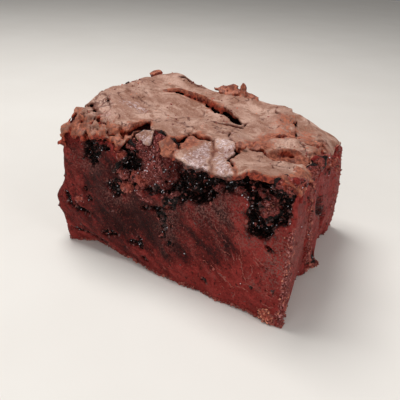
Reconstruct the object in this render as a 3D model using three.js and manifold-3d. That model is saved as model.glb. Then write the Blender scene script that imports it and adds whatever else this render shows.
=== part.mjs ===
// A square-cut chocolate brownie: one solid piece of dense, fudgy crumb under a thin baked crust.
// Millimetres, +Z up. The origin is the middle of the flat base, the long cut faces -Y and the
// short cut faces +X. The crust has lifted and cracked into plates, it stands a little past the
// cuts, and the crumb right under it is torn open in glossy pockets.
import * as THREE from "three";
import { mergeVertices } from "three/addons/utils/BufferGeometryUtils.js";
import Module from "manifold-3d";

// Driving dimensions
const LENGTH = 62; // along the long cut, X
const DEPTH = 49; // along the short cut, Y
const HEIGHT = 34.5; // base to the crust's plateau
const CRUST = 1.8; // thickness of the crust's broken edge
const OVERHANG = { front: 1.2, right: 0.1, back: 0.9, left: 0.2 }; // crust's reach past each cut
const UNDERCUT = 1; // height over which each wall steps out to the crust's edge
const ROLL = 1.6; // how far the crust rolls down where it meets the cuts
const EDGE = 0.6; // how far the crumb's edges are worn back
const GRID = { x: 36, y: 28, z: 17 }; // faces along each side of the block

const wasm = await Module();
wasm.setup();

// ---------------------------------------------------------------- small tools

const { lerp, smoothstep, degToRad } = THREE.MathUtils;
const bell = (distance) => Math.exp(-distance * distance);

// Smooth noise from -1 to 1 over a lattice of whole numbers.
function lattice(i, j, k) {
  const wave = Math.sin(i * 127.1 + j * 311.7 + k * 74.7) * 43758.5453;
  return 2 * (wave - Math.floor(wave)) - 1;
}

function noise(x, y, z) {
  const [i, j, k] = [x, y, z].map(Math.floor);
  const [u, v, w] = [x - i, y - j, z - k].map((t) => t * t * (3 - 2 * t));
  const along = (b, c) => lerp(lattice(i, j + b, k + c), lattice(i + 1, j + b, k + c), u);
  const across = (c) => lerp(along(0, c), along(1, c), v);
  return lerp(across(0), across(1), w);
}

// How near a point is to a soft oval: 1 in its middle, falling to 0 outside it.
function oval(a, b, { at, size, turn = 0 }) {
  const angle = degToRad(turn);
  const [da, db] = [a - at[0], b - at[1]];
  const along = (da * Math.cos(angle) + db * Math.sin(angle)) / size[0];
  const across = (db * Math.cos(angle) - da * Math.sin(angle)) / size[1];
  return bell(Math.hypot(along, across));
}

const sumOf = (list, value) => list.reduce((sum, item) => sum + value(item), 0);

// ---------------------------------------------------------------- the four cut walls

// Each corner post: its side of the block, how far the knife strayed at the base and at the brim,
// and how far the crust lies above or below its plateau there.
const POSTS = [
  { side: [-1, -1], base: [-0.6, 1.8], brim: [0, 2.6], rise: 0.2 },
  { side: [1, -1], base: [2.2, -1.6], brim: [1.8, 0.2], rise: 0.4 },
  { side: [-1, 1], base: [0.4, 1.2], brim: [-0.4, 0.8], rise: 3 },
  { side: [1, 1], base: [-0.8, 2.6], brim: [-3.8, -1.4], rise: -4.2 },
];

// A value blended between the four posts: u and v run from -0.5 to 0.5 across the block.
function betweenPosts(u, v, valueOf) {
  return sumOf(POSTS, (post) => (0.5 + post.side[0] * u) * (0.5 + post.side[1] * v) * valueOf(post));
}

// Pockets and creases sunk in each wall, placed along the wall and above the base.
const POCKETS = {
  front: [
    { at: [-21, 28.3], size: [4.2, 2.8], deep: 3.6 },
    { at: [-11, 27.6], size: [2.8, 4.6], deep: 3.4 },
    { at: [-13.5, 19], size: [4, 2.6], deep: 2.2 },
    { at: [5, 27], size: [6.5, 4.2], deep: 4.2 },
    { at: [14.5, 28.6], size: [7, 2.6], deep: 4 },
    { at: [24, 30.4], size: [5.5, 1.8], deep: 3 },
    { at: [29.4, 26], size: [2.2, 4.4], deep: 3.2 },
    { at: [24.6, 20.6], size: [3.8, 2.2], deep: 3 },
    { at: [1.5, 16], size: [1.6, 5], deep: 1.2 },
    { at: [29, 17.4], size: [2, 1], deep: 1.4 },
    { at: [-26, 12], size: [3.6, 1.2], deep: 1.6, turn: -8 },
    { at: [-17.5, 6.2], size: [2.6, 1.3], deep: 1.6 },
    { at: [-8.5, 6.5], size: [2.8, 1.6], deep: 1.8 },
    { at: [-24, 0], size: [6, 1.6], deep: 0.8 },
  ],
  right: [
    { at: [5.5, 14], size: [8.5, 1.8], deep: 2.6, turn: -46 },
    { at: [-1, 30], size: [4, 2.8], deep: 2 },
    { at: [-7.5, 12], size: [1.6, 9], deep: 0.9 },
    { at: [12, 27], size: [5, 2.2], deep: 1.6 },
  ],
  back: [
    { at: [-18, 29], size: [7, 2.6], deep: 3.2 },
    { at: [-2, 28], size: [5, 3.4], deep: 2.6 },
    { at: [14, 27], size: [7, 2.4], deep: 3.2 },
    { at: [6, 13], size: [4, 2.4], deep: 1.6 },
    { at: [-21, 11], size: [3, 2], deep: 1.4 },
  ],
  left: [
    { at: [-9, 28.5], size: [5, 2.6], deep: 2.8 },
    { at: [8, 29], size: [7, 2.4], deep: 3 },
    { at: [15, 15], size: [3, 2.4], deep: 1.5 },
  ],
};

// Swellings on each wall: a fold the knife dragged round the left end, and the short cut's ridge.
const SWELLINGS = {
  front: [
    { at: [-4, 30.8], size: [3.4, 3.6], deep: 1.6 },
    { at: [-4, 0], size: [14, 3], deep: 0.9 },
  ],
  right: [
    { at: [-4.6, 14], size: [1.3, 11], deep: 1, turn: 14 },
    { at: [12, 19], size: [6, 6], deep: 0.7 },
    { at: [-0.5, 2.4], size: [2.2, 1.8], deep: 0.5 },
  ],
  back: [{ at: [16, 12], size: [9, 7], deep: 1 }],
  left: [
    { at: [-19, 12.5], size: [13, 4.4], deep: 3.6 },
    { at: [6, 13], size: [14, 6], deep: 1.4 },
  ],
};
const WALL_SEED = { front: 3, right: 17, back: 31, left: 47 };

// The uneven surface everywhere: how wide its waves are and how high.
const WALL_WAVES = [{ wide: 9, high: 0.7 }, { wide: 3.5, high: 0.35 }];
const CRUST_WAVES = [{ wide: 6, high: 0.45 }, { wide: 2.6, high: 0.25 }];
const RAGGED = { wide: 3, high: 0.7 }; // the crust's broken edge

const waviness = (waves, a, b, seed) => sumOf(waves, (w) => w.high * noise(a / w.wide, b / w.wide, seed));

// 0 on the crumb, 1 on the crust's edge, for a height on a wall whose top is at the brim.
const onCrust = (z, brim) => smoothstep(z, brim - CRUST - UNDERCUT, brim - CRUST);

// How far a wall stands out of its flat cut, at a place along it and a height.
function wallRelief(name, along, z, brim) {
  const seed = WALL_SEED[name];
  const sunk = sumOf(POCKETS[name], (pocket) => pocket.deep * oval(along, z, pocket));
  const swollen = sumOf(SWELLINGS[name], (lump) => lump.deep * oval(along, z, lump));
  const crumb = waviness(WALL_WAVES, along, z, seed) + swollen - sunk;
  const edge = OVERHANG[name] + RAGGED.high * noise(along / RAGGED.wide, 0, seed);
  return lerp(crumb, edge, onCrust(z, brim));
}

// ---------------------------------------------------------------- the crust's upper surface

// Domes and hollows of the crust, in plan.
const SWELLS = [
  { at: [9, 21], size: [15, 9], rise: 2.2 }, // the back dome
  { at: [-27, 0], size: [10, 15], rise: 2.8 }, // the left shoulder
  { at: [-4, 4], size: [9, 5], rise: -1.4 }, // the hollow in front of the long tear
  { at: [-9, 14.4], size: [11, 3], rise: 1.2, turn: -8 }, // the raised lip behind it
  { at: [5, -21], size: [9, 6.5], rise: -2.2 }, // the broken plates along the front
  { at: [-18, -24], size: [9, 4], rise: -1.8 },
  { at: [21.5, -9.6], size: [6.4, 2.8], rise: -3 }, // the torn hollow on the right
  { at: [19, -2.6], size: [6, 2], rise: 1.3, turn: 12 }, // the ridge behind it
];

const CRUST_SEED = 9;

function crustHeight(x, y, u, v) {
  const slope = betweenPosts(u, v, (post) => post.rise);
  const swells = sumOf(SWELLS, (swell) => swell.rise * oval(x, y, swell));
  return HEIGHT + slope + swells + waviness(CRUST_WAVES, x, y, CRUST_SEED);
}

// ---------------------------------------------------------------- the block

// Rows up the walls: even over the crumb, then three close together for the crust's lip.
const LIP_ROWS = 3;
const OUTERMOST = 0.499; // points this far out in the unit cube lie on a wall
const ROLL_STARTS = 0.93; // share of the way out where the crust begins to roll down

function rowHeight(row, brim) {
  const body = GRID.z - LIP_ROWS;
  const underside = brim - CRUST - UNDERCUT;
  if (row <= body) return (underside * row) / body;
  return lerp(underside, brim, (row - body) / LIP_ROWS);
}

// Carries one point of a unit cube to its place on the brownie.
function onBlock(point) {
  const { x: u, y: v, z: w } = point;
  const row = Math.round((w + 0.5) * GRID.z);
  const flat = (axis, height) =>
    betweenPosts(u, v, (post) => {
      const half = [LENGTH, DEPTH][axis] / 2;
      return post.side[axis] * half + lerp(post.base[axis], post.brim[axis], height);
    });
  const top = crustHeight(flat(0, 1), flat(1, 1), u, v);
  const outwards = Math.max(Math.abs(u), Math.abs(v)) * 2;
  const brim = top - ROLL * smoothstep(outwards, ROLL_STARTS, 1);
  const z = rowHeight(row, brim);
  const share = z / HEIGHT;
  const [x, y] = [flat(0, share), flat(1, share)];
  const onEnd = Math.abs(u) > OUTERMOST;
  const onFace = Math.abs(v) > OUTERMOST;
  const endRelief = onEnd ? wallRelief(u > 0 ? "right" : "left", y, z, brim) : 0;
  const faceRelief = onFace ? wallRelief(v > 0 ? "back" : "front", x, z, brim) : 0;
  // The upright and lower edges are worn, the crust's edge isn't.
  const wornUpright = onEnd && onFace ? EDGE * (1 - onCrust(z, brim)) : 0;
  const wornBase = row === 0 ? EDGE : 0;
  point.set(
    x + Math.sign(u) * (endRelief - wornUpright - (onEnd ? wornBase : 0)),
    y + Math.sign(v) * (faceRelief - wornUpright - (onFace ? wornBase : 0)),
    z,
  );
}

function solidFrom(geometry) {
  const bare = geometry.index ? geometry.toNonIndexed() : geometry.clone();
  bare.deleteAttribute("normal");
  bare.deleteAttribute("uv");
  const merged = mergeVertices(bare, 1e-4);
  return new wasm.Manifold(
    new wasm.Mesh({
      numProp: 3,
      vertProperties: merged.attributes.position.array,
      triVerts: new Uint32Array(merged.index.array),
    }),
  );
}

function movePoints(geometry, move) {
  const positions = geometry.attributes.position;
  const point = new THREE.Vector3();
  for (let i = 0; i < positions.count; i++) {
    point.fromBufferAttribute(positions, i);
    move(point);
    positions.setXYZ(i, point.x, point.y, point.z);
  }
  return geometry;
}

const block = solidFrom(movePoints(new THREE.BoxGeometry(1, 1, 1, GRID.x, GRID.y, GRID.z), onBlock));

// ---------------------------------------------------------------- cracks in the crust

// Each crack's line in plan, its widest gap and how deep it goes.
const CRACKS = [
  { line: [[-20, 10], [-13, 11.6], [-7, 11], [-1, 8.6], [6, 6.4]], gap: 1.7, deep: 3 },
  { line: [[6, 6.4], [6.4, 4.4], [2.4, 2]], gap: 0.9, deep: 2 },
  { line: [[-21, -24], [-17.5, -20.6], [-12.8, -17], [-11.4, -12.4], [-8, -15.6], [-2, -17.6],
    [-0.6, -10.6]], gap: 1.7, deep: 2.6 },
  { line: [[-0.6, -10.6], [4.6, -12.2], [8, -14.6], [10.6, -20]], gap: 1, deep: 1.8 },
  { line: [[12, 24], [16, 18.4], [19.4, 10.4], [20.6, 5]], gap: 1, deep: 1.8 },
  { line: [[14.6, -14], [15.2, -18.6], [18.4, -23.4]], gap: 1, deep: 1.6 },
  { line: [[-29.6, -8.4], [-25.6, -10.2], [-23.1, -13.4]], gap: 1, deep: 1.6 },
  { line: [[-15.6, -2.2], [-11, -3.6]], gap: 1.1, deep: 1.4 },
  { line: [[15, -8], [20, -6.8], [27, -7.4]], gap: 1.6, deep: 2.6 },
];
const CRACK_TOP = HEIGHT + 8; // above every dome of the crust
const TIP = 0.1; // half the gap left at a crack's ends
const STRAY = { share: 0.7, seed: 21 }; // how far a crack strays from its line, as a share of its gap

// The crust's height at a place in plan that isn't on the block's own grid.
const heightAt = (x, y) => crustHeight(x, y, x / LENGTH, y / DEPTH);

// A jagged sliver in plan, widest in the middle of its line and pointed at both ends.
function cutter({ line, gap, deep }) {
  const corners = line.map(([x, y]) => new THREE.Vector2(x, y));
  const path = new THREE.Path(corners);
  const steps = 3 * (line.length - 1);
  const [right, left] = [[], []];
  for (let i = 0; i <= steps; i++) {
    const at = path.getPointAt(i / steps);
    const across = path.getTangentAt(i / steps).rotateAround(new THREE.Vector2(), Math.PI / 2);
    const half = TIP + (gap / 2) * Math.sin((Math.PI * i) / steps);
    const stray = STRAY.share * gap * noise(at.x, at.y, STRAY.seed);
    left.push(at.clone().addScaledVector(across, stray + half));
    right.push(at.clone().addScaledVector(across, stray - half));
  }
  const floor = Math.min(...line.map(([x, y]) => heightAt(x, y))) - deep;
  const shape = new THREE.Shape([...right, ...left.reverse()]);
  const prism = new THREE.ExtrudeGeometry(shape, { depth: CRACK_TOP - floor, bevelEnabled: false });
  return solidFrom(prism.translate(0, 0, floor));
}

// ---------------------------------------------------------------- plates and flakes of crust

// Loose plates: the middle in plan, half sizes, how far the middle stands above the crust, and
// the lean about X, Y and Z. Those along the front have tipped over the cut, and the small ones
// stand up along the back.
const FLAKES = [
  { at: [6, -20.6], size: [5.4, 5], lift: 0.5, lean: [13, -3, 0] }, // the large front plate
  { at: [15.4, -22.4], size: [3.8, 3.8], lift: 0.1, lean: [16, 6, 20] },
  { at: [-4.4, -23.2], size: [3.4, 3.2], lift: -1.6, lean: [38, 0, 10] },
  { at: [-16.5, -22.6], size: [5.4, 2.6], lift: -0.6, lean: [26, 0, 0] },
  { at: [-25.6, -21.4], size: [3.6, 2.8], lift: -0.8, lean: [28, -6, 0] },
  { at: [26.6, -22.6], size: [5, 2.8], lift: -0.6, lean: [14, 8, 0] },
  { at: [-8, 13.2], size: [8, 2], lift: 0.4, lean: [-9, 0, -8] }, // the lip of the long tear
  { at: [-9.5, 23.4], size: [2.2, 1.9], lift: 0.7, lean: [64, 0, 20] },
  { at: [-3.4, 22.8], size: [2.4, 1.9], lift: 0.9, lean: [68, 10, -30] },
  { at: [-27.5, 22], size: [3, 2], lift: 0.3, lean: [16, 20, 0] },
  { at: [21.5, -4.8], size: [5.4, 1.8], lift: 0.2, lean: [-18, 0, -6] }, // behind the hollow
];
const FLAKE_SIDES = 11;
const FLAKE_THICK = 1.1;
const FLAKE_RAGGED = 0.42; // how far its outline strays, as a share of its size
const BREAKS = 9; // how often it strays
const FLAKE_SEEDS = 7; // between one flake's noise and the next

function flake({ at: [x, y], size, lift, lean }, index) {
  const outline = Array.from({ length: FLAKE_SIDES }, (_, i) => {
    const angle = (2 * Math.PI * i) / FLAKE_SIDES;
    const [a, b] = [BREAKS * Math.cos(angle), BREAKS * Math.sin(angle)];
    const reach = 1 + FLAKE_RAGGED * noise(a, b, FLAKE_SEEDS * index);
    return new THREE.Vector2(size[0] * reach * Math.cos(angle), size[1] * reach * Math.sin(angle));
  });
  const slab = new THREE.ExtrudeGeometry(new THREE.Shape(outline), {
    depth: FLAKE_THICK,
    bevelEnabled: false,
  });
  slab.translate(0, 0, -FLAKE_THICK / 2);
  slab.applyQuaternion(
    new THREE.Quaternion().setFromEuler(new THREE.Euler(...lean.map(degToRad))),
  );
  return solidFrom(slab.translate(x, y, heightAt(x, y) + lift - FLAKE_THICK / 2));
}

// ---------------------------------------------------------------- crumbs

// Crumbs that cling in the pockets and along the edges: middle point and radius.
const CRUMBS = [
  { at: [-4, -22.6, 27.6], radius: 2.6 },
  { at: [-6.2, -21.6, 24.6], radius: 1.9 },
  { at: [-2.4, -21.8, 20.6], radius: 2.4 },
  { at: [-9.6, -20.6, 24], radius: 1.3 },
  { at: [25.4, -22.4, 25.4], radius: 1.8 },
  { at: [26.6, -23, 22.8], radius: 1.3 },
  { at: [30.6, 0, 3.2], radius: 1.4 },
  { at: [28.2, 20.4, 24], radius: 1.3 },
  { at: [28.6, -24.6, 2], radius: 1.5 },
];

const CRUMB_UNEVEN = 0.22; // as a share of its radius

function crumb({ at, radius }) {
  const ball = new THREE.IcosahedronGeometry(radius, 1);
  movePoints(ball, (p) => p.multiplyScalar(1 + CRUMB_UNEVEN * noise(p.x, p.y, p.z + at[0])));
  return solidFrom(ball.translate(...at));
}

// ---------------------------------------------------------------- the whole brownie

function geometryOf(solid) {
  const { numProp, vertProperties, triVerts } = solid.getMesh();
  const positions = new Float32Array((vertProperties.length / numProp) * 3);
  for (let i = 0; i * numProp < vertProperties.length; i++) {
    positions.set(vertProperties.subarray(i * numProp, i * numProp + 3), i * 3);
  }
  const geometry = new THREE.BufferGeometry();
  geometry.setAttribute("position", new THREE.BufferAttribute(positions, 3));
  geometry.setIndex(new THREE.BufferAttribute(triVerts, 1));
  geometry.computeVertexNormals();
  return geometry;
}

let brownie = block;
for (const crack of CRACKS) brownie = brownie.subtract(cutter(crack));
for (const [index, plate] of FLAKES.entries()) brownie = brownie.add(flake(plate, index));
for (const lump of CRUMBS) brownie = brownie.add(crumb(lump));

const chocolate = new THREE.MeshStandardMaterial({ color: 0x5a2b24, roughness: 0.6, metalness: 0 });
const mesh = new THREE.Mesh(geometryOf(brownie), chocolate);
mesh.name = "brownie";

const part = new THREE.Group();
part.add(mesh);

export default part;
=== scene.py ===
"""A square-cut chocolate brownie: dense, fudgy crumb under a baked crust that has lifted and cracked."""

from itertools import combinations

import bpy
import numpy as np
from mathutils import Matrix, Vector


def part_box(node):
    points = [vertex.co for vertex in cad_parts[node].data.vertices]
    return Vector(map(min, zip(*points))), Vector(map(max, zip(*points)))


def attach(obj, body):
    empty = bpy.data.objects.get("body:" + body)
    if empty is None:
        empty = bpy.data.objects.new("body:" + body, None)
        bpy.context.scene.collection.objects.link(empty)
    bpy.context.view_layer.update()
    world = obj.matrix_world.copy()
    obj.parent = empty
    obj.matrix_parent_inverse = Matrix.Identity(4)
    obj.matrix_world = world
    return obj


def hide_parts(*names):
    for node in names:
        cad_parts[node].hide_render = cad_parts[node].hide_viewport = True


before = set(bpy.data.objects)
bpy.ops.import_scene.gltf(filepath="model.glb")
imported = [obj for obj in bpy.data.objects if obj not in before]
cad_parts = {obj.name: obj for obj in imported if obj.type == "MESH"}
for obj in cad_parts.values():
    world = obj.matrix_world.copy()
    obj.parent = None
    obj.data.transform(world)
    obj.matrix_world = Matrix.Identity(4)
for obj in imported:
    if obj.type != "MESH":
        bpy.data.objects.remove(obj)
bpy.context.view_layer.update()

# ---------------------------------------------------------------- the block of crumb
# One slab of dense, fudgy brownie, cut from its tin with a warm knife. The knife smeared the four
# walls smooth, so they lean and bow a little; under the crust the crumb has torn into dark, moist
# pockets. Everything in this file is measured in millimetres until a mesh is made.

STEP = 0.3  # between two samples of a solid
MARGIN = 1.2  # of empty space kept round the solid
low_corner, high_corner = (np.array(corner) * 1000 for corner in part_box("brownie"))
xs, ys, zs = (
    np.arange(low - MARGIN, high + MARGIN, STEP, dtype=np.float32)
    for low, high in zip(low_corner, high_corner)
)
X, Y, Z = xs[:, None, None], ys[None, :, None], zs[None, None, :]

LENGTH, DEPTH, HEIGHT = 62, 49, 34.5  # at the knife, and from the base to the crust's plateau

# Each corner post: its side of the block, how far the knife strayed at the base and at the brim,
# and how far the crust lies above or below its plateau there.
posts = [
    ((-1, -1), (-0.6, 1.8), (0.0, 2.6), 0.2),
    ((1, -1), (2.2, -1.6), (1.8, 0.2), 0.4),
    ((-1, 1), (0.4, 1.2), (-0.4, 0.8), 3.0),
    ((1, 1), (-0.8, 2.6), (-3.8, -1.4), -4.2),
]


def between_posts(across, along, value):
    """A value of each post, blended over the block: across and along run from -0.5 to 0.5."""
    return sum((0.5 + p[0][0] * across) * (0.5 + p[0][1] * along) * value(p) for p in posts)


def wall(side, axis, along, height):
    """Where a wall stands: the coordinate that it faces along, at places along it and heights."""
    half = (LENGTH, DEPTH)[axis] / 2
    share = along / (LENGTH, DEPTH)[1 - axis]
    rise = height / HEIGHT
    place = (side * 0.5, share) if axis == 0 else (share, side * 0.5)
    return between_posts(*place, lambda p: p[0][axis] * half + p[1][axis] * (1 - rise) + p[2][axis] * rise)


def ripples(axes, size, seed):
    """Smooth random relief over a grid: bumps about size mm across, with a spread of one."""
    sizes = np.broadcast_to(size, len(axes))
    blends = []
    for axis, wide in zip(axes, sizes):
        place = (axis - axis[0]) / wide + 1.5
        away = np.abs(place[:, None] - np.arange(int(place[-1]) + 3))
        near = 2 / 3 - away**2 + away**3 / 2
        far = np.clip(2 - away, 0, None) ** 3 / 6
        blends.append(np.where(away < 1, near, far).astype(np.float32))
    field = np.random.default_rng(seed).standard_normal([b.shape[1] for b in blends], np.float32)
    for blend in blends:
        field = np.tensordot(field, blend, axes=(0, 1))
    return field / field.std()


def ramp(value, start, end):
    """0 up to start, 1 from end on, and a smooth rise between them."""
    t = np.clip((value - start) / (end - start), 0, 1)
    return t * t * (3 - 2 * t)


def both(a, b, rounding):
    """The solid that two solids share, with the edge between them rounded."""
    blend = np.clip(0.5 + 0.5 * (a - b) / rounding, 0, 1)
    return b + (a - b) * blend + rounding * blend * (1 - blend)


def either(a, b, rounding):
    """Two solids joined, with the corner between them filled."""
    return -both(-a, -b, rounding)


def turned(a, b, middle, size, turn):
    """Distance from the middle of an oval, in its own half sizes."""
    cos, sin = np.cos(np.radians(turn)), np.sin(np.radians(turn))
    da, db = a - middle[0], b - middle[1]
    return np.hypot((da * cos + db * sin) / size[0], (db * cos - da * sin) / size[1])


def hill(a, b, middle, size, turn=0):
    """A soft oval hill, 1 at its middle."""
    return np.exp(-turned(a, b, middle, size, turn) ** 2)


def hills(a, b, rows, start=0):
    """Soft oval hills added to a start: each row is a middle, a half size, a turn and a height."""
    return sum((high * hill(a, b, middle, size, turn) for middle, size, turn, high in rows), start)


def patch(a, b, middle, size, turn=0, uneven=0.0):
    """An oval patch, 1 inside and 0 outside, whose outline wanders with uneven."""
    return ramp(turned(a, b, middle, size, turn) + uneven, 1.15, 0.85)


def from_line(a, b, line):
    """The distance from a bent line, the side (1 on its left), and how far along it, 0 to 1."""
    line = np.array(line, float)
    lengths = np.hypot(*np.diff(line, axis=0).T)
    starts = np.concatenate([[0], np.cumsum(lengths)]) / lengths.sum()
    nearest = np.full(np.broadcast(a, b).shape, 1e9)
    side = np.ones(nearest.shape)
    along = np.zeros(nearest.shape)
    for i, (start, end) in enumerate(zip(line[:-1], line[1:])):
        run = end - start
        t = np.clip(((a - start[0]) * run[0] + (b - start[1]) * run[1]) / lengths[i] ** 2, 0, 1)
        off_a, off_b = a - start[0] - t * run[0], b - start[1] - t * run[1]
        away = np.hypot(off_a, off_b)
        closer = away < nearest
        nearest = np.where(closer, away, nearest)
        side = np.where(closer, np.sign(run[0] * off_b - run[1] * off_a), side)
        along = np.where(closer, starts[i] + t * (starts[i + 1] - starts[i]), along)
    return nearest, side, along


def within(a, b, outline):
    """Distance inside a closed outline, negative outside it."""
    closed = outline + outline[:1]
    away, _, _ = from_line(a, b, closed)
    odd = np.zeros(away.shape, bool)
    for (ax, ay), (bx, by) in zip(closed[:-1], closed[1:]):
        if ay != by:
            odd ^= ((ay > b) != (by > b)) & (a < (bx - ax) * (b - ay) / (by - ay) + ax)
    return np.where(odd, away, -away)


def at_points(field, axes, points):
    """A field's values at points between its samples."""
    places = [
        np.clip((points[:, i] - axis[0]) / (axis[1] - axis[0]), 0, len(axis) - 1.001)
        for i, axis in enumerate(axes)
    ]
    whole = [p.astype(int) for p in places]
    part = [p - w for p, w in zip(places, whole)]
    value = 0
    for corner in np.ndindex(*(2,) * len(axes)):
        weight = 1
        for c, p in zip(corner, part):
            weight = weight * (p if c else 1 - p)
        value = value + weight * field[tuple(w + c for w, c in zip(whole, corner))]
    return value


def from_above(field, points):
    """The values of a field laid out in plan, at points in space."""
    return at_points(field, (xs, ys), points[:, :2])


def from_front(field, points):
    """The values of a field laid out along X and up Z, at points in space."""
    return at_points(field, (xs, zs), points[:, [0, 2]])


def from_right(field, points):
    """The values of a field laid out along Y and up Z, at points in space."""
    return at_points(field, (ys, zs), points[:, 1:])


def streaky(a, b, turn, size, seed):
    """Ripples drawn out along one direction of a wall: size is their length and their width."""
    a, b = np.broadcast_arrays(a, b)
    cos, sin = np.cos(np.radians(turn)), np.sin(np.radians(turn))
    turned_places = np.stack([(a * cos + b * sin).ravel(), (b * cos - a * sin).ravel()], 1)
    axes = [np.arange(v.min(), v.max() + 2 * STEP, STEP) for v in turned_places.T]
    return at_points(ripples(axes, size, seed), axes, turned_places).reshape(a.shape)


def torn(a, b, outlines, spots, seed):
    """What tore out of a wall: the share of it that is pocket, 0 to 1, and how deep it goes.

    outlines are (outline, depth) and spots are (middle, half size, turn, depth).
    """
    axes = (a.ravel(), b.ravel())
    wander = 0.26 * ripples(axes, 2.4, seed) + 0.2 * ripples(axes, 0.9, seed + 1)
    share = np.zeros(wander.shape)
    sunk = np.zeros(wander.shape)
    for outline, deep in outlines:
        inside = within(a, b, outline) + 2 * wander
        share = np.maximum(share, ramp(inside, -0.5, 0.7))
        sunk = np.maximum(sunk, deep * ramp(inside, -0.4, 1.5))
    for middle, size, turn, deep in spots:
        shape = patch(a, b, middle, size, turn, wander)
        share = np.maximum(share, shape)
        sunk = np.maximum(sunk, deep * shape)
    return share, sunk


# The long cut, which faces -Y. Its relief is laid out along X and up Z.
fx, fz = xs[:, None], zs[None, :]
front_tears = [  # outline, how deep
    ([(-24.8, 28), (-23.6, 30.4), (-21.4, 31.8), (-16, 32.6), (-15.8, 30.2), (-18.4, 27.8), (-21.6, 26),
      (-24.2, 26.2)], 2.8),
    ([(-13.6, 34.5), (-13.8, 28.2), (-13.4, 25.6), (-10.8, 23.6), (-8.2, 23.4), (-6.8, 27),
      (-6.4, 36)], 4.6),
    ([(-9.6, 37), (-9.2, 25), (-7.6, 23.4), (-3, 23.2), (-1, 22), (1.2, 21.6), (4.6, 22.4), (8.6, 23.4),
      (11.1, 24.6), (13.2, 25.8), (15.2, 27.2), (18.9, 28.8), (21.7, 29.8), (24.3, 30.4), (31.2, 31),
      (31.2, 37)], 6.2),
    ([(23, 31.5), (31.4, 31.8), (32, 26), (31.2, 23.4), (29.2, 21.6), (27, 20.4), (24.2, 20), (22.8, 21.2),
      (22.6, 23.6), (22.6, 26), (22.4, 29)], 4.2),
]
front_spots = [  # middle, half size, turn, how deep
    ((-13.6, 20.8), (3.2, 2.8), -20, 1.8),
    ((-9.6, 23.0), (2.2, 1.2), -30, 1.8),
    ((-3.3, 18.5), (4.8, 0.6), 15, 1.7),
    ((-4.4, 23.4), (4.4, 1.0), 12, 2.0),
    ((2.4, 22.0), (2.0, 1.6), 0, 0.8),
    ((0.4, 17.4), (1.2, 1.4), 0, 0.8),
    ((1.4, 14.8), (1.2, 1.2), 30, 1.0),
    ((3.0, 15.4), (0.8, 0.9), 0, 0.9),
    ((1.0, 12.6), (1.1, 1.2), 0, 0.9),
    ((2.6, 10.8), (1.0, 0.9), 10, 1.1),
    ((-17.2, 6.9), (2.4, 0.7), 12, 1.5),
    ((-8.6, 6.9), (2.2, 0.6), 20, 1.7),
    ((-6.3, 7.6), (0.5, 1.6), 14, 1.3),
    ((-29.0, 13.4), (1.6, 0.5), -50, 1.2),
    ((-25.8, 11.6), (3.0, 0.55), -6, 1.3),
    ((-24.0, 17.4), (1.0, 0.8), 0, 0.9),
    ((-22.6, 15.6), (0.7, 0.6), 0, 0.8),
    ((28.4, 18.2), (1.3, 0.5), -24, 1.6),
    ((-26.8, 4.4), (3.2, 0.45), -10, 1.2),
    ((-20.8, 3.2), (2.4, 0.45), -4, 1.0),
    ((-5.0, 3.4), (1.2, 0.45), -14, 1.2),
    ((25.2, 8.0), (0.5, 0.6), 0, 0.7),
    ((12.4, 4.2), (0.8, 0.5), 0, 0.6),
    ((30.4, 9.0), (0.5, 1.4), 8, 0.6),
]
pocket, front_sunk = torn(fx, fz, front_tears, front_spots, 11)

# Folds that the knife dragged along.
front_folds = [  # middle, half size, turn, how far it stands out
    ((-29.0, 12.6), (5.0, 2.6), 0, 0.9),
    ((-9.0, 13.0), (9.0, 4.6), 20, -0.8),
    ((-23.0, 8.4), (8.0, 2.2), -14, 0.6),
    ((-16.0, 14.6), (9.0, 1.2), -34, 0.5),
    ((14.0, 20.0), (7.0, 3.6), 0, 0.5),
    ((22.0, 12.0), (8.0, 5.0), -30, 0.4),
    ((30.0, 20.0), (2.0, 4.0), 0, 0.5),
    ((4.0, 4.8), (12.0, 1.1), -4, 0.35),
]
front_streaks = 0.7 * streaky(fx, fz, -34, (5.0, 0.7), 15) + 0.7 * streaky(fx, fz, -58, (3.0, 0.6), 16)
front_relief = 0.28 * ripples((xs, zs), 7, 13) + 0.13 * ripples((xs, zs), 2.6, 14) + 0.06 * front_streaks
front_relief *= 0.35 + 0.65 * ramp(fz, 0, 9)
# Low down the wall draws in, by so much at places along X.
tuck = np.interp(xs, (-31, -27, -24, -20, -16, -12, -8, -3, 4, 11, 16, 24, 31),
                 (1.0, 3.4, 5.0, 4.8, 4.0, 3.8, 3.0, 1.8, 1.5, 1.5, 0.7, 1.3, 0.3))[:, None]
front_relief -= tuck * np.exp(-fz / 4.4)
front_relief = hills(fx, fz, front_folds, front_relief)
front_y = wall(-1, 1, fx, fz) - front_relief + front_sunk

# The short cut, which faces +X: relief along Y and up Z.
ry, rz = ys[:, None], zs[None, :]
right_streaks = streaky(ry, rz, 80, (8.0, 0.9), 26)
right_relief = 0.26 * ripples((ys, zs), 8, 23) + 0.14 * ripples((ys, zs), 3, 24) + 0.06 * right_streaks
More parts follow.
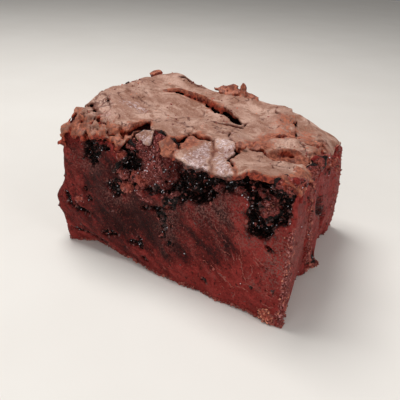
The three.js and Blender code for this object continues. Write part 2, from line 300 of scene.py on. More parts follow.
# A ragged ridge of crumb runs down it, and a deep crease further back: their lines in Y and Z.
right_ridge = [(-15.1, 32.5), (-13, 27.5), (-11.6, 23.8), (-9.4, 18.4), (-7.4, 13.4), (-4.6, 6), (1.8, 1.4)]
wander = 0.4 * ripples((ys, zs), 1.5, 25)
away, side, along = from_line(ry + wander, rz, right_ridge)
right_relief += 0.8 * np.exp(-((away / 0.9) ** 2))
right_relief -= 0.7 * np.exp(-(((away - 1.8) / 0.8) ** 2)) * (side < 0) * ramp(along, 0.35, 0.7)
right_crumbs = np.exp(-((away / 1.1) ** 2))
crease = [(-4.0, 23.0), (-0.2, 19.4), (3.4, 16.0), (7.4, 12.6), (9.4, 10.0), (8.4, 6.0)]
away, side, along = from_line(ry + wander, rz, crease)
fold = np.sin(np.pi * np.clip(along, 0, 1)) ** 0.7
right_relief += 1.4 * np.exp(-((away / 2.6) ** 2)) * (side > 0) * fold
right_relief -= 3.4 * np.exp(-((away / 1.3) ** 2)) * fold
# Along the crease the crumb is painted darker, as shade.
crease_shade = np.exp(-((away / 1.7) ** 2)) * fold
right_tears = [
    ([(-14.6, 36), (-14, 32.8), (-11.4, 31.4), (-8, 29.4), (-3.4, 28.2), (0.4, 29), (1.2, 32.4),
      (0, 36)], 2.6),
    ([(-22.6, 36.0), (-22.0, 33.4), (-18.4, 32.8), (-17.2, 36.0)], 1.6),
    ([(3.6, 36.0), (4.4, 29.6), (8.4, 28.6), (10.6, 30.4), (10.0, 36.0)], 1.8),
]
right_spots = [
    ((3.8, 26.4), (2.0, 1.0), 20, 1.2),
    ((13.0, 26.2), (3.6, 1.2), 0, 1.3),
    ((-0.4, 4.4), (1.8, 1.2), 0, 1.0),
    ((-3.6, 9.2), (0.6, 1.2), 0, 0.9),
    ((20.4, 15.0), (1.2, 0.8), 0, 0.8),
    ((19.2, 22.4), (1.4, 0.7), 0, 0.8),
]
right_pocket, right_sunk = torn(ry, rz, right_tears, right_spots, 21)
right_relief += 1.9 * hill(ry, rz, (19, 17), (8, 8)) + 0.8 * hill(ry, rz, (0.6, 2.0), (2.0, 1.6))
tuck = np.interp(ys, (-26, -21, -17.6, -14.3, -10, -6.6, -3, 1, 6, 15, 20, 26),
                 (0.2, 1.5, 2.6, 4.0, 4.8, 4.0, 2.4, 1.2, 3.6, 3.8, 2.8, 2.2))[:, None]
right_relief = right_relief - tuck * np.exp(-rz / 5)
right_x = wall(1, 0, ry, rz) + right_relief - right_sunk

# The back and the left end, cut the same way.
back_relief = 0.36 * ripples((xs, zs), 8, 33) + 0.14 * ripples((xs, zs), 3, 34)
back_tears = [
    ([(-27.0, 32.0), (-26.0, 27.6), (-20.0, 25.8), (-13.6, 27.4), (-8.0, 24.8), (-1.0, 26.0), (4.0, 24.0),
      (11.0, 25.2), (17.0, 23.4), (24.0, 24.6), (26.0, 29.0), (10.0, 33.0), (-12.0, 35.0)], 3.6),
]
back_spots = [
    ((-13.0, 20.4), (3.2, 2.0), 20, 1.4),
    ((5.6, 13.0), (3.4, 1.6), 0, 1.2),
    ((-21.0, 11.0), (2.8, 0.8), 14, 1.2),
    ((17.0, 7.4), (2.6, 0.8), -12, 1.2),
    ((-2.0, 6.4), (1.6, 0.7), 0, 1.0),
    ((12.0, 18.0), (1.4, 1.1), 0, 0.9),
    ((-27.0, 18.0), (1.2, 1.4), 0, 0.9),
]
back_pocket, back_sunk = torn(fx, fz, back_tears, back_spots, 31)
back_y = wall(1, 1, fx, fz) + back_relief - back_sunk

left_relief = 0.28 * ripples((ys, zs), 8, 43) + 0.14 * ripples((ys, zs), 3, 44)
left_relief += 3.2 * hill(ry, rz, (-19, 12.5), (13, 4.4)) + 1.2 * hill(ry, rz, (6, 13), (14, 6))
left_relief -= 1.2 * hill(ry, rz, (-23, 31), (7, 6))
left_relief -= 0.8 * np.exp(-(((rz - 10.4 + 0.05 * ry) / 0.7) ** 2)) * ramp(ry, 2, -12)
left_tears = [
    ([(-14.0, 33.0), (-13.0, 28.6), (-7.0, 27.4), (-1.0, 29.2), (5.0, 27.8), (12.0, 28.8), (17.0, 27.0),
      (21.0, 29.0), (20.0, 35.0), (2.0, 36.0)], 3.0),
]
left_spots = [
    ((1.0, 22.0), (3.0, 1.6), -20, 1.2),
    ((15.0, 14.6), (2.6, 1.4), 30, 1.1),
    ((-6.0, 5.0), (2.2, 0.7), -10, 1.0),
    ((10.0, 6.6), (1.6, 0.7), 0, 0.9),
]
left_pocket, left_sunk = torn(ry, rz, left_tears, left_spots, 41)
left_x = wall(-1, 0, ry, rz) - left_relief + left_sunk

EDGE = 1.3  # how far the knife's edges are rounded
walls = both(
    both(front_y[:, None, :] - Y, Y - back_y[:, None, :], EDGE),
    both(left_x[None, :, :] - X, X - right_x[None, :, :], EDGE),
    EDGE,
)

# The crust's upper side in plan, and how it drops where it was torn. The crumb follows below it.
px, py = xs[:, None], ys[None, :]
slope = between_posts(px / LENGTH, py / DEPTH, lambda p: p[3])
crust_top = HEIGHT + slope + 0.3 * ripples((xs, ys), 6, 51) + 0.17 * ripples((xs, ys), 2.2, 52)
crust_top += 0.06 * ripples((xs, ys), 1.0, 50)
swells = [  # middle, half size, turn, rise
    ((9, 22), (15, 9), 0, 2.4),
    ((13.5, 12.5), (4.5, 6.5), 20, 1.5),
    ((-27, 0), (10, 15), 0, 2.8),
    ((-31, 12), (4, 12), 0, 1.2),
    ((-24.5, 24), (4.5, 5), 0, 1.8),
    ((-4, 4), (9, 5), 0, -1.2),
    ((6.0, -15.0), (8.0, 3.0), 0, -0.5),
    ((20, -1.0), (6, 2.4), 8, 1.5),
    ((28.5, 2.5), (3.0, 5.0), 0, 0.6),
    ((29, 18), (6, 10), 0, -3.0),
    ((-30, -8), (5, 10), 0, 0.8),
    ((11.5, -7.5), (3.0, 2.6), 0, 0.7),
    ((-20.0, -12.0), (5.0, 3.0), 0, 0.5),
]
crust_top = hills(px, py, swells, crust_top)

# Every crack and outline in the crust wanders a little off the straight lines between its points.
warp_x = px + 0.28 * ripples((xs, ys), 2.0, 53) + 0.15 * ripples((xs, ys), 0.8, 54)
warp_y = py + 0.28 * ripples((xs, ys), 2.0, 55) + 0.15 * ripples((xs, ys), 0.8, 56)

# Two plates stand proud of the rest, with a fine groove all round: their outlines in plan.
plates = [
    [(4, -25), (2.3, -21.4), (0.5, -16.9), (-0.7, -13), (-0.3, -10.8), (0.9, -10.1), (4.4, -11.5),
     (6.8, -12.8), (9.5, -17.3), (11.3, -22), (13.9, -25.8), (14.4, -28.5), (4.4, -28.5)],
    [(6.8, -12.8), (7.5, -11.1), (9.4, -10.7), (11.9, -10.5), (13.7, -12.6), (14.9, -15.5), (14.6, -18),
     (16.1, -22), (18.7, -24.2), (19.6, -26.1), (19, -28.5), (14.6, -28.5), (13.9, -25.8), (11.3, -22),
     (9.5, -17.3)],
]
inside_plates = [within(warp_x, warp_y, plate) for plate in plates]
for inside, rise in zip(inside_plates, (0.4, 0.6)):
    crust_top = crust_top + rise * ramp(inside, -0.15, 0.15)
hairline = np.max([np.exp(-((inside / 0.24) ** 2)) for inside in inside_plates], axis=0)
hairline = hairline * ramp(px, -1.0, 1.5)

# Where the crust is brittle it crazed into small scales, each tipped a little against the next.
SCALES = 190
scale_rng = np.random.default_rng(91)
scale_middles = scale_rng.uniform((-35, -29), (35, 29), (SCALES, 2))
spans = np.hypot(warp_x[..., None] - scale_middles[:, 0], warp_y[..., None] - scale_middles[:, 1])
owner = spans.argmin(axis=-1)
nearest_two = np.partition(spans, 1, axis=-1)
apart = nearest_two[..., 1] - nearest_two[..., 0]
brittle_places = [  # middle, half size, turn, share
    ((-26, -13), (8, 9), 0, 1.0),
    ((-31, 6), (5, 10), 0, 0.8),
    ((27, 3), (6, 9), 0, 0.9),
    ((21, -6), (8, 5), 0, 0.7),
    ((28, -19), (4, 5), 0, 0.6),
    ((-14, -8), (6, 5), 0, 0.5),
    ((8, -7), (7, 4), 0, 0.4),
]
brittle = np.clip(hills(px, py, brittle_places) + 0.1, 0, 1) * ramp(ripples((xs, ys), 4, 49), -1.2, 0.2)
crust_top = crust_top + brittle * ramp(apart, 0, 0.6) * 0.42 * scale_rng.uniform(-1, 1, SCALES)[owner]
hairline = np.maximum(hairline, brittle * np.exp(-((apart / 0.3) ** 2)))

# Where the crust sank: a toasted hollow near the right, with a ragged ridge beside it.
hollow_outline = [
    (19.6, -12.4), (20.8, -10.4), (21.4, -7.4), (25.2, -5.4), (28.2, -4.4), (30, -7.6), (29.4, -11.6),
    (27.4, -13), (23.6, -12.8),
]
inside_hollow = within(warp_x, warp_y, hollow_outline)
crust_top = crust_top - ramp(inside_hollow, -0.1, 0.7) * (1.3 + 0.25 * ripples((xs, ys), 1.2, 46))
ragged_ridge = hill(px, py, (17.0, -8.6), (2.8, 1.6), -16)
crust_top = crust_top + ragged_ridge * (1.3 + 0.5 * ripples((xs, ys), 0.9, 45))

# Tears: each line, how far the crust stands up on its left and on its right, how far that reaches,
# and how wide it gapes where it starts and ends.
tears = [
    ([(-20.9, 9.8), (-18.1, 12.8), (-13, 12.8), (-10, 13.6), (-6.6, 11.4), (-2.6, 9.9), (2, 7.6), (7.6, 5)],
     2.1, -0.3, 4.5, -1.5, 2.0),
    ([(7.8, 5.4), (6.4, 1.6), (3.1, -1.2), (0.4, -0.8)], 0.1, 0.7, 2.6, 1.1, 0.4),
    ([(-16.4, -2.6), (-15.4, -2.0), (-13.2, -2.6), (-11.1, -3.6)], 0.3, 1.0, 2.0, 0.3, 0.5),
    ([(-26.4, -21.4), (-22.4, -19.4), (-17.7, -21.4), (-14.4, -20.7), (-13.4, -17.8), (-12.8, -13.9),
      (-11.3, -12.2), (-8, -15.7), (-5.1, -15.5), (-1.8, -17.6), (-0.5, -15.4), (-0.6, -10.4)],
     1.1, -1.2, 3.4, 0.1, 0.9),
    ([(-0.9, -10.6), (0.9, -10.1), (4.4, -11.5), (6.8, -12.8)], 0.9, -0.4, 3.0, 0.9, 0.3),
    ([(6.8, -12.8), (7.5, -11.1), (9.4, -10.7), (11.9, -10.5), (13.7, -12.6)], 0.3, 0.0, 2.0, 0.1, 0.3),
    ([(13.4, -12.2), (14.9, -15.5), (14.6, -18.0), (16.1, -22.0), (18.7, -24.2)], 0.6, -0.4, 2.5, 1.3, 0.1),
    ([(15.6, -10.2), (17.2, -10.8), (19.2, -11.4), (21.4, -11.6)], 0.3, 0.2, 1.6, 0.9, 0.8),
    ([(20.4, -8.4), (21.8, -7.6), (25.4, -5.8), (27.0, -4.8)], 0.9, 0.0, 2.2, 0.3, 0.1),
    ([(25.8, -4.2), (26.8, -2.9), (28.3, -3.6), (29.2, -6.0)], 0.3, 0.2, 1.6, 0.1, 0.4),
    ([(16.2, 1.4), (17.2, -0.2), (19.0, -0.9), (21.4, 0.4), (22.6, 2.6)], 1.0, 0.0, 2.0, 0.2, 0.3),
    ([(9.1, 20.3), (12.1, 15.6), (13.6, 12.4)], 0.7, 0.0, 2.4, 0.1, 0.3),
    ([(11.8, 25.4), (15.9, 18.5), (19.2, 10.3), (20.3, 5.2), (21.4, 3.6)], -0.7, 0.8, 3.4, 0.1, 0.5),
    ([(24.6, 1.4), (26.3, 5.4), (27.9, 8.1), (30.3, 6.4)], 0.9, -0.3, 2.2, 0.3, 0.4),
    ([(24.5, 12.0), (26.0, 14.5), (28.6, 15.0)], 0.4, -0.2, 2.4, 0.1, 0.2),
    ([(-29.6, -8.2), (-27.4, -8.6), (-25.2, -10.4), (-23.1, -12.6), (-22.9, -14.8)],
     0.6, -0.2, 2.0, 0.1, 0.2),
    ([(-21.4, -27.0), (-22.6, -22.0), (-23.5, -17.6)], 0.2, 0.3, 2.5, 1.9, 0.3),
    ([(-30.8, -13.2), (-28.4, -13.4), (-26.2, -14.4)], 0.5, -0.1, 2.0, 0.1, 0.3),
    ([(-33.0, 6.8), (-31.6, 6.0), (-29.0, 7.4)], 0.3, -0.1, 1.5, -0.3, 0.1),
    ([(-24.0, 21.6), (-19.0, 22.6), (-14.4, 21.8)], 0.5, -0.1, 2.4, 0.1, 0.2),
    ([(-8.0, -8.6), (-4.6, -6.8), (-1.2, -7.8)], 0.3, -0.1, 2.0, 0.05, 0.1),
    ([(3.0, -4.8), (7.4, -6.6), (10.4, -10.6)], 0.5, 0.0, 2.0, 0.05, 0.1),
]
gape = np.full(crust_top.shape, 1e9)
tears_hair = np.zeros(crust_top.shape)
lip = np.zeros(crust_top.shape)
raised = np.zeros(crust_top.shape)
for line, left_rise, right_rise, reach, start_gap, end_gap in tears:
    away, side, along = from_line(warp_x, warp_y, line)
    taper = np.sin(np.pi * np.clip(along, 0.03, 0.97)) ** 0.5
    rise = np.where(side > 0, left_rise, right_rise) * np.exp(-away / reach) * taper
    crust_top = crust_top + rise
    raised = raised + np.clip(rise, 0, None)
    gape = np.minimum(gape, away - (start_gap + (end_gap - start_gap) * along) * taper / 2)
    level = np.abs(left_rise - right_rise) < 0.9
    tears_hair = np.maximum(tears_hair, np.exp(-((away / 0.3) ** 2)) * level)
    lip_height = np.where(side > 0, left_rise, right_rise).clip(0.2, 1)
    lip = np.maximum(lip, np.exp(-away / 0.8) * taper * lip_height)

# Places where the crust has come away and the crumb shows.
bare_spots = [
    [(-12.6, -13.6), (-11, -12.6), (-8, -16.2), (-5.1, -16.2), (-1.8, -18), (-0.6, -15.4), (1.2, -17.4),
     (2.4, -21.4), (3.6, -27), (-10.2, -27), (-11, -20.6), (-11.8, -17)],
    [(12.8, -13.0), (14.4, -13.9), (15.0, -16.4), (14.2, -17.0)],
]
bare = np.max([within(warp_x, warp_y, spot) for spot in bare_spots], axis=0)

# The crust's lower edge along the long cut: places along X and heights. The sheet rolls down to it.
front_hem = [
    (-33, 29.4), (-28.7, 30), (-26, 30.2), (-24, 31.4), (-22.3, 32), (-20.7, 31.7), (-17.5, 33.4),
    (-15.7, 32.3), (-13.9, 31.4), (-11.5, 31.6), (-9, 34.5), (0, 33.6), (3.6, 32.9), (5.2, 32.2),
    (10.4, 31.5), (13.4, 31.8), (15.9, 31.7), (20.1, 32.4), (22.4, 33.3), (25, 34.3), (28, 34.4),
    (29.6, 33.4), (31.2, 32.8), (33, 34.5),
]

# The crust is about a millimetre thick, and more along the tears, at the hem and in the hollow.
crust_thick = 1.0 + 0.1 * ripples((xs, ys), 3, 57) + 1.0 * hill(px, py, (24, -25), (4.4, 3))
crust_thick += (
    0.7 * hill(px, py, (-9, 13.0), (11, 2.6), -14) + 1.8 * hill(px, py, (25.0, -5.4), (5, 1.6), 24)
)
crust_thick += 0.5 * hill(px, py, (-22, -22), (12, 4)) + 0.6 * hill(px, py, (31, -24), (2.4, 4))
brim_height = np.float32(HEIGHT)
front_brim = wall(-1, 1, px, brim_height)
right_brim = wall(1, 0, py, brim_height)
back_brim = wall(1, 1, px, brim_height)
left_brim = wall(-1, 0, py, brim_height)
inwards = py - front_brim
hem = np.interp(warp_x[:, :1], *zip(*front_hem)) + 0.25 * ripples((xs, ys), 1.0, 58)[:, :1]
drop = np.clip(crust_top - 1.2 * crust_thick - hem, 0, None)
drop_reach = np.interp(px, (-34, -13, -9, -1, 1, 12, 16, 34), (5.5, 5.5, 4, 4, 11, 11, 3.5, 3.0))
drop_curve = np.interp(px, (-34, -9, 1, 12, 16, 34), (2.0, 2.0, 1.2, 1.2, 2.0, 2.0))
crust_top = crust_top - drop * np.clip(1 - (inwards + 0.8) / drop_reach, 0, 1) ** drop_curve

# Lobes: the rim of the crust bubbled up at the left of the long cut, at the near corner and along
# the right.
lobes = np.maximum(ramp(px, -10.5, -12.5) * ramp(inwards, 6.5, 4.5), hill(px, py, (31, -23), (3.0, 3.6)))
right_rim = ramp(right_brim - px, 3.4, 1.4) * ramp(py, 12, 6)
lobes = np.maximum(lobes, 0.9 * right_rim * ramp(ripples((xs, ys), 2.6, 44), -0.9, 0.2))
crust_top = crust_top + lobes * (0.55 * ripples((xs, ys), 1.9, 59) + 0.3 * ripples((xs, ys), 0.9, 60))
other_brims = np.minimum(np.minimum(back_brim - py, px - left_brim), right_brim - px)
crust_top = crust_top - 1.3 * np.clip(1 - other_brims / 2.4, 0, 1.2) ** 2

# How far inside the crust's own edge a place is; negative where there is no crust.
reach_out = np.minimum(
    np.minimum(py - front_brim + 1.2, back_brim - py + 0.8),
    np.minimum(px - left_brim - 0.6 + 1.4 * ramp(py, -16, -6), right_brim - px + 0.2),
)
reach_out = reach_out + 0.34 * ripples((xs, ys), 2.6, 71) + 0.14 * ripples((xs, ys), 0.9, 72)
present = np.minimum(np.minimum(reach_out, gape), -bare)

# The crumb's own top lies lower along the tears, so the raised lips overhang a dark gap.
inland = ramp(other_brims, 0.6, 3.0)
crumb_top = crust_top - raised * inland - crust_thick - 0.05
crumb_top -= 1.3 * ramp(bare, -1.0, 1.4) + 1.3 * inland * np.exp(-np.clip(gape, 0, None) / 1.1)
crumb_top -= 3.0 * hill(px, py, (-5.0, -14.6), (7.4, 2.2), -8)
crumb_top += 0.25 * ripples((xs, ys), 1.6, 73)
bare_lumps = 0.45 * ripples((xs, ys), 1.2, 78) + 0.4 * ripples((xs, ys), 0.75, 79)
crumb_top += ramp(present, 0.6, -0.6) * bare_lumps

# Torn crumb is rough all through: in the pockets, along the base and where the crust has gone.
crumbly = 0.52 * np.abs(ripples((xs, ys, zs), 1.25, 61)) + 0.4 * np.abs(ripples((xs, ys, zs), 0.66, 62))
crumbly = np.minimum(crumbly, 1.3)
roughness = 0.06 + 0.94 * pocket[:, None, :] * ramp(Y, 0, -12)
roughness = np.maximum(roughness, 0.9 * right_pocket[None, :, :] * ramp(X, 10, 20))
roughness = np.maximum(roughness, 0.9 * back_pocket[:, None, :] * ramp(Y, 0, 12))
roughness = np.maximum(roughness, 0.9 * left_pocket[None, :, :] * ramp(X, -10, -20))
roughness = np.maximum(roughness, 0.4 * right_crumbs[None, :, :] * ramp(X, 10, 20))
roughness = np.maximum(roughness, 0.45 * ramp(Z, 1.6, 0.4))
lid = crumb_top[:, :, None]
open_top = 0.9 * ramp(present, 2.4, 0.4)[:, :, None] * ramp(Z, lid - 3.0, lid - 1.0)
roughness = np.maximum(roughness, open_top)
block = both(walls, Z - lid, 0.9)
block = block + roughness * (0.55 - crumbly)
block = np.maximum(block, Z - lid - 0.5 * ramp(present, 0.4, -0.4)[:, :, None])

# Lumps of crumb that hang on in the pockets: middle, half sizes, lean about X in degrees, how
# square they are, and how warm their colour is.
lumps = [
    ((-3.4, -19.0, 29.3), (4.7, 2.5, 5.2), -24, 4.0, 0.34),
    ((-6.9, -19.0, 33.0), (1.9, 1.6, 1.6), 0, 2.6, 0.3),
    ((-5.6, -21.6, 27.0), (1.2, 0.7, 1.1), 0, 2.4, 0.4),
    ((-2.0, -21.4, 28.4), (1.4, 0.8, 0.9), 0, 2.4, 0.3),
    ((-2.6, -20.6, 25.8), (1.9, 1.6, 1.4), 0, 2, 0.45),
    ((-5.4, -20.8, 25.4), (1.7, 1.4, 1.3), 0, 2, 0.5),
    ((-0.6, -20.4, 26.6), (1.2, 1.2, 1.0), 0, 2, 0.7),
    ((-8.0, -21.9, 25.0), (1.8, 1.2, 1.0), 20, 2.5, 0.9),
    ((-6.4, -22.0, 23.8), (1.3, 1.1, 1.0), 0, 2.5, 0.7),
    ((-9.6, -21.8, 23.4), (0.8, 0.8, 0.7), 0, 2, 0.6),
    ((-11.0, -22.0, 21.2), (1.7, 1.0, 1.3), 30, 2.2, 0.85),
    ((-12.0, -21.9, 24.6), (1.2, 1.1, 1.1), 0, 2, 0.6),
    ((-13.8, -22.0, 26.0), (1.2, 1.1, 1.1), 0, 2, 0.45),
    ((-4.4, -21.9, 20.7), (3.2, 1.4, 1.1), -14, 3, 0.55),
    ((-0.8, -22.1, 21.6), (1.6, 1.3, 0.9), 0, 2.4, 0.5),
    ((-6.6, -21.9, 21.2), (1.3, 1.2, 1.2), 0, 2.4, 0.5),
    ((2.4, -22.0, 23.0), (1.4, 1.2, 0.9), 0, 2, 0.3),
    ((1.0, -22.0, 19.4), (0.9, 0.8, 0.8), 0, 2, 0.5),
    ((-13.0, -21.6, 29.0), (1.4, 1.0, 1.1), 0, 2.6, 1.0),
    ((-10.6, -20.4, 32.2), (1.4, 1.2, 1.2), 0, 2, 0.4),
    ((0.8, -19.6, 26.4), (1.3, 1.3, 1.1), 0, 2, 0.3),
    ((25.5, -21.8, 28.0), (1.5, 1.3, 1.1), 0, 2, 0.34),
    ((27.3, -21.8, 26.2), (1.5, 1.3, 1.2), 0, 2, 0.4),
    ((25.4, -22.0, 25.2), (1.3, 1.2, 1.0), 0, 2, 0.45),
    ((24.0, -21.8, 29.4), (1.2, 1.2, 0.9), 0, 2, 0.3),
    ((26.4, -22.1, 23.4), (0.9, 1.0, 0.8), 0, 2, 0.45),
    ((14.0, -21.0, 27.4), (1.2, 1.4, 1.0), 0, 2, 0.3),
    ((8.4, -20.0, 25.4), (1.4, 1.4, 1.0), 0, 2, 0.15),
    ((19.4, -22.0, 28.8), (1.2, 1.2, 0.8), 0, 2, 0.4),
    ((-8.2, -21.8, 5.2), (1.1, 0.9, 0.8), 0, 2, 0.7),
    ((-25.8, -22.2, 14.0), (1.3, 0.9, 0.9), 0, 2, 1.0),
    ((-19.6, -21.4, 27.6), (0.9, 0.9, 0.7), 0, 2, 0.0),
    ((28.6, -25.4, 1.8), (1.2, 0.8, 1.2), 0, 2, 1.0),
    ((30.0, -25.4, 1.6), (0.9, 0.8, 1.3), 0, 2, 1.0),
    ((31.9, -24.8, 3.4), (0.9, 0.9, 1.2), 0, 2, 0.9),
    ((29.2, -24.2, 34.0), (1.6, 1.1, 1.2), 0, 2.4, 0.8),
    ((31.2, -23.6, 33.4), (1.3, 1.2, 1.3), 0, 2.4, 0.8),
    ((32.2, -21.8, 33.8), (0.9, 1.7, 1.3), 0, 2.4, 0.7),
    ((31.2, 3.2, 29.4), (1.3, 1.3, 1.3), 0, 2, 1.0),
    ((30.8, -7.2, 30.6), (1.2, 1.2, 1.2), 0, 2, 0.5),
    ((29.0, -2.0, 3.2), (1.1, 1.2, 1.0), 0, 2, 0.12),
    ((31.6, -12.4, 32.6), (1.2, 1.4, 1.2), 0, 2.4, 0.6),
    ((31.4, -3.2, 32.4), (1.2, 1.6, 1.2), 0, 2.4, 0.9),
    ((31.0, -8.6, 33.0), (1.4, 1.8, 1.4), 0, 2.2, 0.7),
]
warm = np.zeros(block.shape, np.float32)
lump_noise = 0.28 * ripples((xs, ys, zs), 1.3, 63) + 0.24 * ripples((xs, ys, zs), 0.66, 64)
for middle, size, lean, square, warmth in lumps:
    span = 1.5 * max(size[1:])
    box = tuple(
        slice(*np.searchsorted(axis, (m - s, m + s)))
        for axis, m, s in zip((xs, ys, zs), middle, (1.5 * size[0], span, span))
    )
    du, dv, dw = (grid[box[i]] - m for i, (grid, m) in enumerate(zip((xs, ys, zs), middle)))
    cos, sin = np.cos(np.radians(lean)), np.sin(np.radians(lean))
    du, dv, dw = du[:, None, None], dv[None, :, None], dw[None, None, :]
    local = (du, dv * cos + dw * sin, dw * cos - dv * sin)
    away = sum(np.abs(d / s) ** square for d, s in zip(local, size)) ** (1 / square)
    lump = (away - 1) * min(size) + lump_noise[box] * min(1.4, min(size))
    block[box] = either(block[box], lump, 0.3)
    warm[box] = np.maximum(warm[box], warmth * ramp(away, 1.4, 1.1))
block = both(block, -Z, 0.3)


def skin_over(field, axes):
    """Points and four-sided faces of the surface where a field crosses zero (surface nets)."""
    inside = field < 0
    corners = [(i, j, k) for i in (0, 1) for j in (0, 1) for k in (0, 1)]
    nx, ny, nz = (n - 1 for n in field.shape)
    count = np.zeros((nx, ny, nz), np.int8)
    for i, j, k in corners:
        count += inside[i:i + nx, j:j + ny, k:k + nz]
    cells = np.argwhere((count > 0) & (count < 8))
    number = np.full((nx, ny, nz), -1, np.int32)
    number[tuple(cells.T)] = np.arange(len(cells))
    total = np.zeros((len(cells), 3))
    crossings = np.zeros(len(cells))
    for a in corners:
        for axis in range(3):
            if a[axis]:
                continue
            b = list(a)
            b[axis] = 1
            value_a = field[tuple((cells + a).T)]
            value_b = field[tuple((cells + b).T)]
            crossed = (value_a < 0) != (value_b < 0)
            share = np.where(crossed, value_a / np.where(crossed, value_a - value_b, 1), 0)
            point = np.array(a) + share[:, None] * (np.array(b) - a)
            total += crossed[:, None] * point
            crossings += crossed
    points = cells + total / crossings[:, None]
    start = np.array([axis[0] for axis in axes])
    pace = np.array([axis[1] - axis[0] for axis in axes])
    faces = []
    for axis in range(3):
        u, v = (axis + 1) % 3, (axis + 2) % 3
        here = [slice(1, n - 1) for n in field.shape]
        there = list(here)
        here[axis], there[axis] = slice(0, field.shape[axis] - 1), slice(1, field.shape[axis])
        one, two = inside[tuple(here)], inside[tuple(there)]
        for leaving in (True, False):
            found = np.argwhere((one & ~two) if leaving else (~one & two))
            found += [0 if a == axis else 1 for a in range(3)]
            ring = []
            for du, dv in ((-1, -1), (0, -1), (0, 0), (-1, 0)):
                cell = found.copy()
                cell[:, u] += du
                cell[:, v] += dv
                ring.append(number[tuple(cell.T)])
            ring = np.stack(ring if leaving else ring[::-1], 1)
            faces.append(ring)
    return start + points * pace, np.concatenate(faces)


def without_specks(points, faces, smallest=2.0):
    """Leave out loose specks under a few millimetres across, which nothing would hold up."""
    part = np.arange(len(points))
    before = None
    while before is None or (part != before).any():
        before = part.copy()
        lowest = part[faces].min(axis=1)
        for corner in range(faces.shape[1]):
            np.minimum.at(part, faces[:, corner], lowest)
        part = part[part]
    names, index = np.unique(part, return_inverse=True)
    low = np.full((len(names), 3), np.inf)
    high = -low
    np.minimum.at(low, index, points)
    np.maximum.at(high, index, points)
    kept = ((high - low).max(axis=1) >= smallest)[index]
    new_number = np.cumsum(kept) - 1
    return points[kept], new_number[faces[kept[faces[:, 0]]]]


MOST_FACES = 190_000  # triangles in one piece
SHARP = 44  # degrees; sharper edges than this show as broken ones


def piece_of(name, field, axes):
    """A closed mesh object over a field, thinned to a sensible number of triangles."""
    points, faces = without_specks(*skin_over(field, axes))
    mesh = bpy.data.meshes.new(name)
    mesh.from_pydata((points / 1000).tolist(), [], faces.tolist())
    piece = bpy.data.objects.new(name, mesh)
    bpy.context.scene.collection.objects.link(piece)
    if 2 * len(faces) > MOST_FACES:
        thin = piece.modifiers.new("thin", "DECIMATE")
        thin.ratio = MOST_FACES / (2 * len(faces))
        bpy.context.view_layer.objects.active = piece
        bpy.ops.object.modifier_apply(modifier=thin.name)
    piece.data.polygons.foreach_set("use_smooth", np.ones(len(piece.data.polygons), bool))
    piece.data.set_sharp_from_angle(angle=np.radians(SHARP))
    return piece


def points_of(piece):
    """A piece's vertices in millimetres."""
    flat = np.empty(3 * len(piece.data.vertices), np.float32)
    piece.data.vertices.foreach_get("co", flat)
    return flat.reshape(-1, 3) * 1000


def paint(piece, name, values):
    """Stores one number for each vertex, for a material to read."""
    layer = piece.data.attributes.new(name, "FLOAT", "POINT")
    layer.data.foreach_set("value", np.clip(values, 0, 1).astype(np.float32))


crumb_piece = piece_of("crumb", block, (xs, ys, zs))
crumb_at = points_of(crumb_piece)
a, b, c = crumb_at.T
in_front, in_right = ramp(b, -8, -14), ramp(a, 16, 22)
# Dark, moist crumb in the torn pockets, where shade is painted in too, and painted shade along the crease
# of the short cut.
pocket_and_shade = np.max([
    from_front(pocket, crumb_at) * in_front,
    from_right(right_pocket, crumb_at) * in_right,
    from_front(back_pocket, crumb_at) * ramp(b, 8, 14),
    from_right(left_pocket, crumb_at) * ramp(a, -16, -22),
    0.8 * from_right(crease_shade, crumb_at) * in_right,
], axis=0)
top_here = from_above(crumb_top, crumb_at)
present_here = from_above(present, crumb_at)
near_top = ramp(c, top_here - 3.4, top_here - 1.4)

# How warm the crumb is: its lumps, its bare top at the left of the lifted plates, and the hollow.
warm_here = at_points(warm, (xs, ys, zs), crumb_at)
bare_here = from_above(bare, crumb_at)
warm_here = np.maximum(warm_here, 0.28 * ramp(bare_here, 1.2, 2.2) * ramp(a, 1, -3) * near_top)
warm_here = warm_here * (1 - 0.5 * hill(a, c, (1.4, 28.6), (1.8, 3.5)) * in_front)
hollow = patch(a, b, (22, -9.6), (8.0, 4.2)) * ramp(c, 29.5, 30.5) * 0.5

# It is dark and moist in the pockets; under the tears and in the gap behind the standing plate the dark is
# painted shade.
shade_under_tear = np.maximum(ramp(bare, -1.5, 0), ramp(gape, 1.4, 0.2))
shade_under_tear = from_above(shade_under_tear, crumb_at) * near_top
behind = ramp(b, -18.6, -16.8) * ramp(c, 30, 31.5) * ramp(a, -6.5, -5) * ramp(a, 6, 4)
warm_here = warm_here * (1 - 0.95 * behind)
pocket_and_shade = np.maximum(np.maximum(pocket_and_shade, 0.9 * behind), 0.9 * shade_under_tear)
pocket_and_shade = pocket_and_shade * (1 - ramp(warm_here, 0.05, 0.3)) * (1 - hollow)
# The pocket attribute carries both the moist dark crumb and the painted shade.
paint(crumb_piece, "pocket", pocket_and_shade)
ridge_here = from_right(right_crumbs, crumb_at) * ramp(a, 22, 27) * (1 - pocket_and_shade)
near_edge = np.exp(-(((a - 32.6) / 1.0) ** 2)) * ramp(b, -21, -24) * ramp(c, 27, 22)
paint(crumb_piece, "warm", warm_here + 0.9 * hollow + 0.35 * ridge_here + 0.3 * near_edge)

# Dry dust of crumb lies on the smear, mostly below the torn band.
dust_places = [  # middle, half size, turn, share
    ((14.5, 23.8), (9.5, 4.4), 14, 1.0),
    ((30.4, 16.4), (3.0, 5.6), 0, 1.7),
    ((23.6, 19.4), (3.4, 2.4), 0, 0.9),
    ((-24, 25), (6, 2.6), 0, 0.8),
    ((-14, 18.4), (5, 2.4), 0, 0.9),
    ((2, 18), (3, 9), 0, 0.9),
]
dusty = in_front * np.max([
    share * hill(a, c, middle, size, turn) for middle, size, turn, share in dust_places
], axis=0)

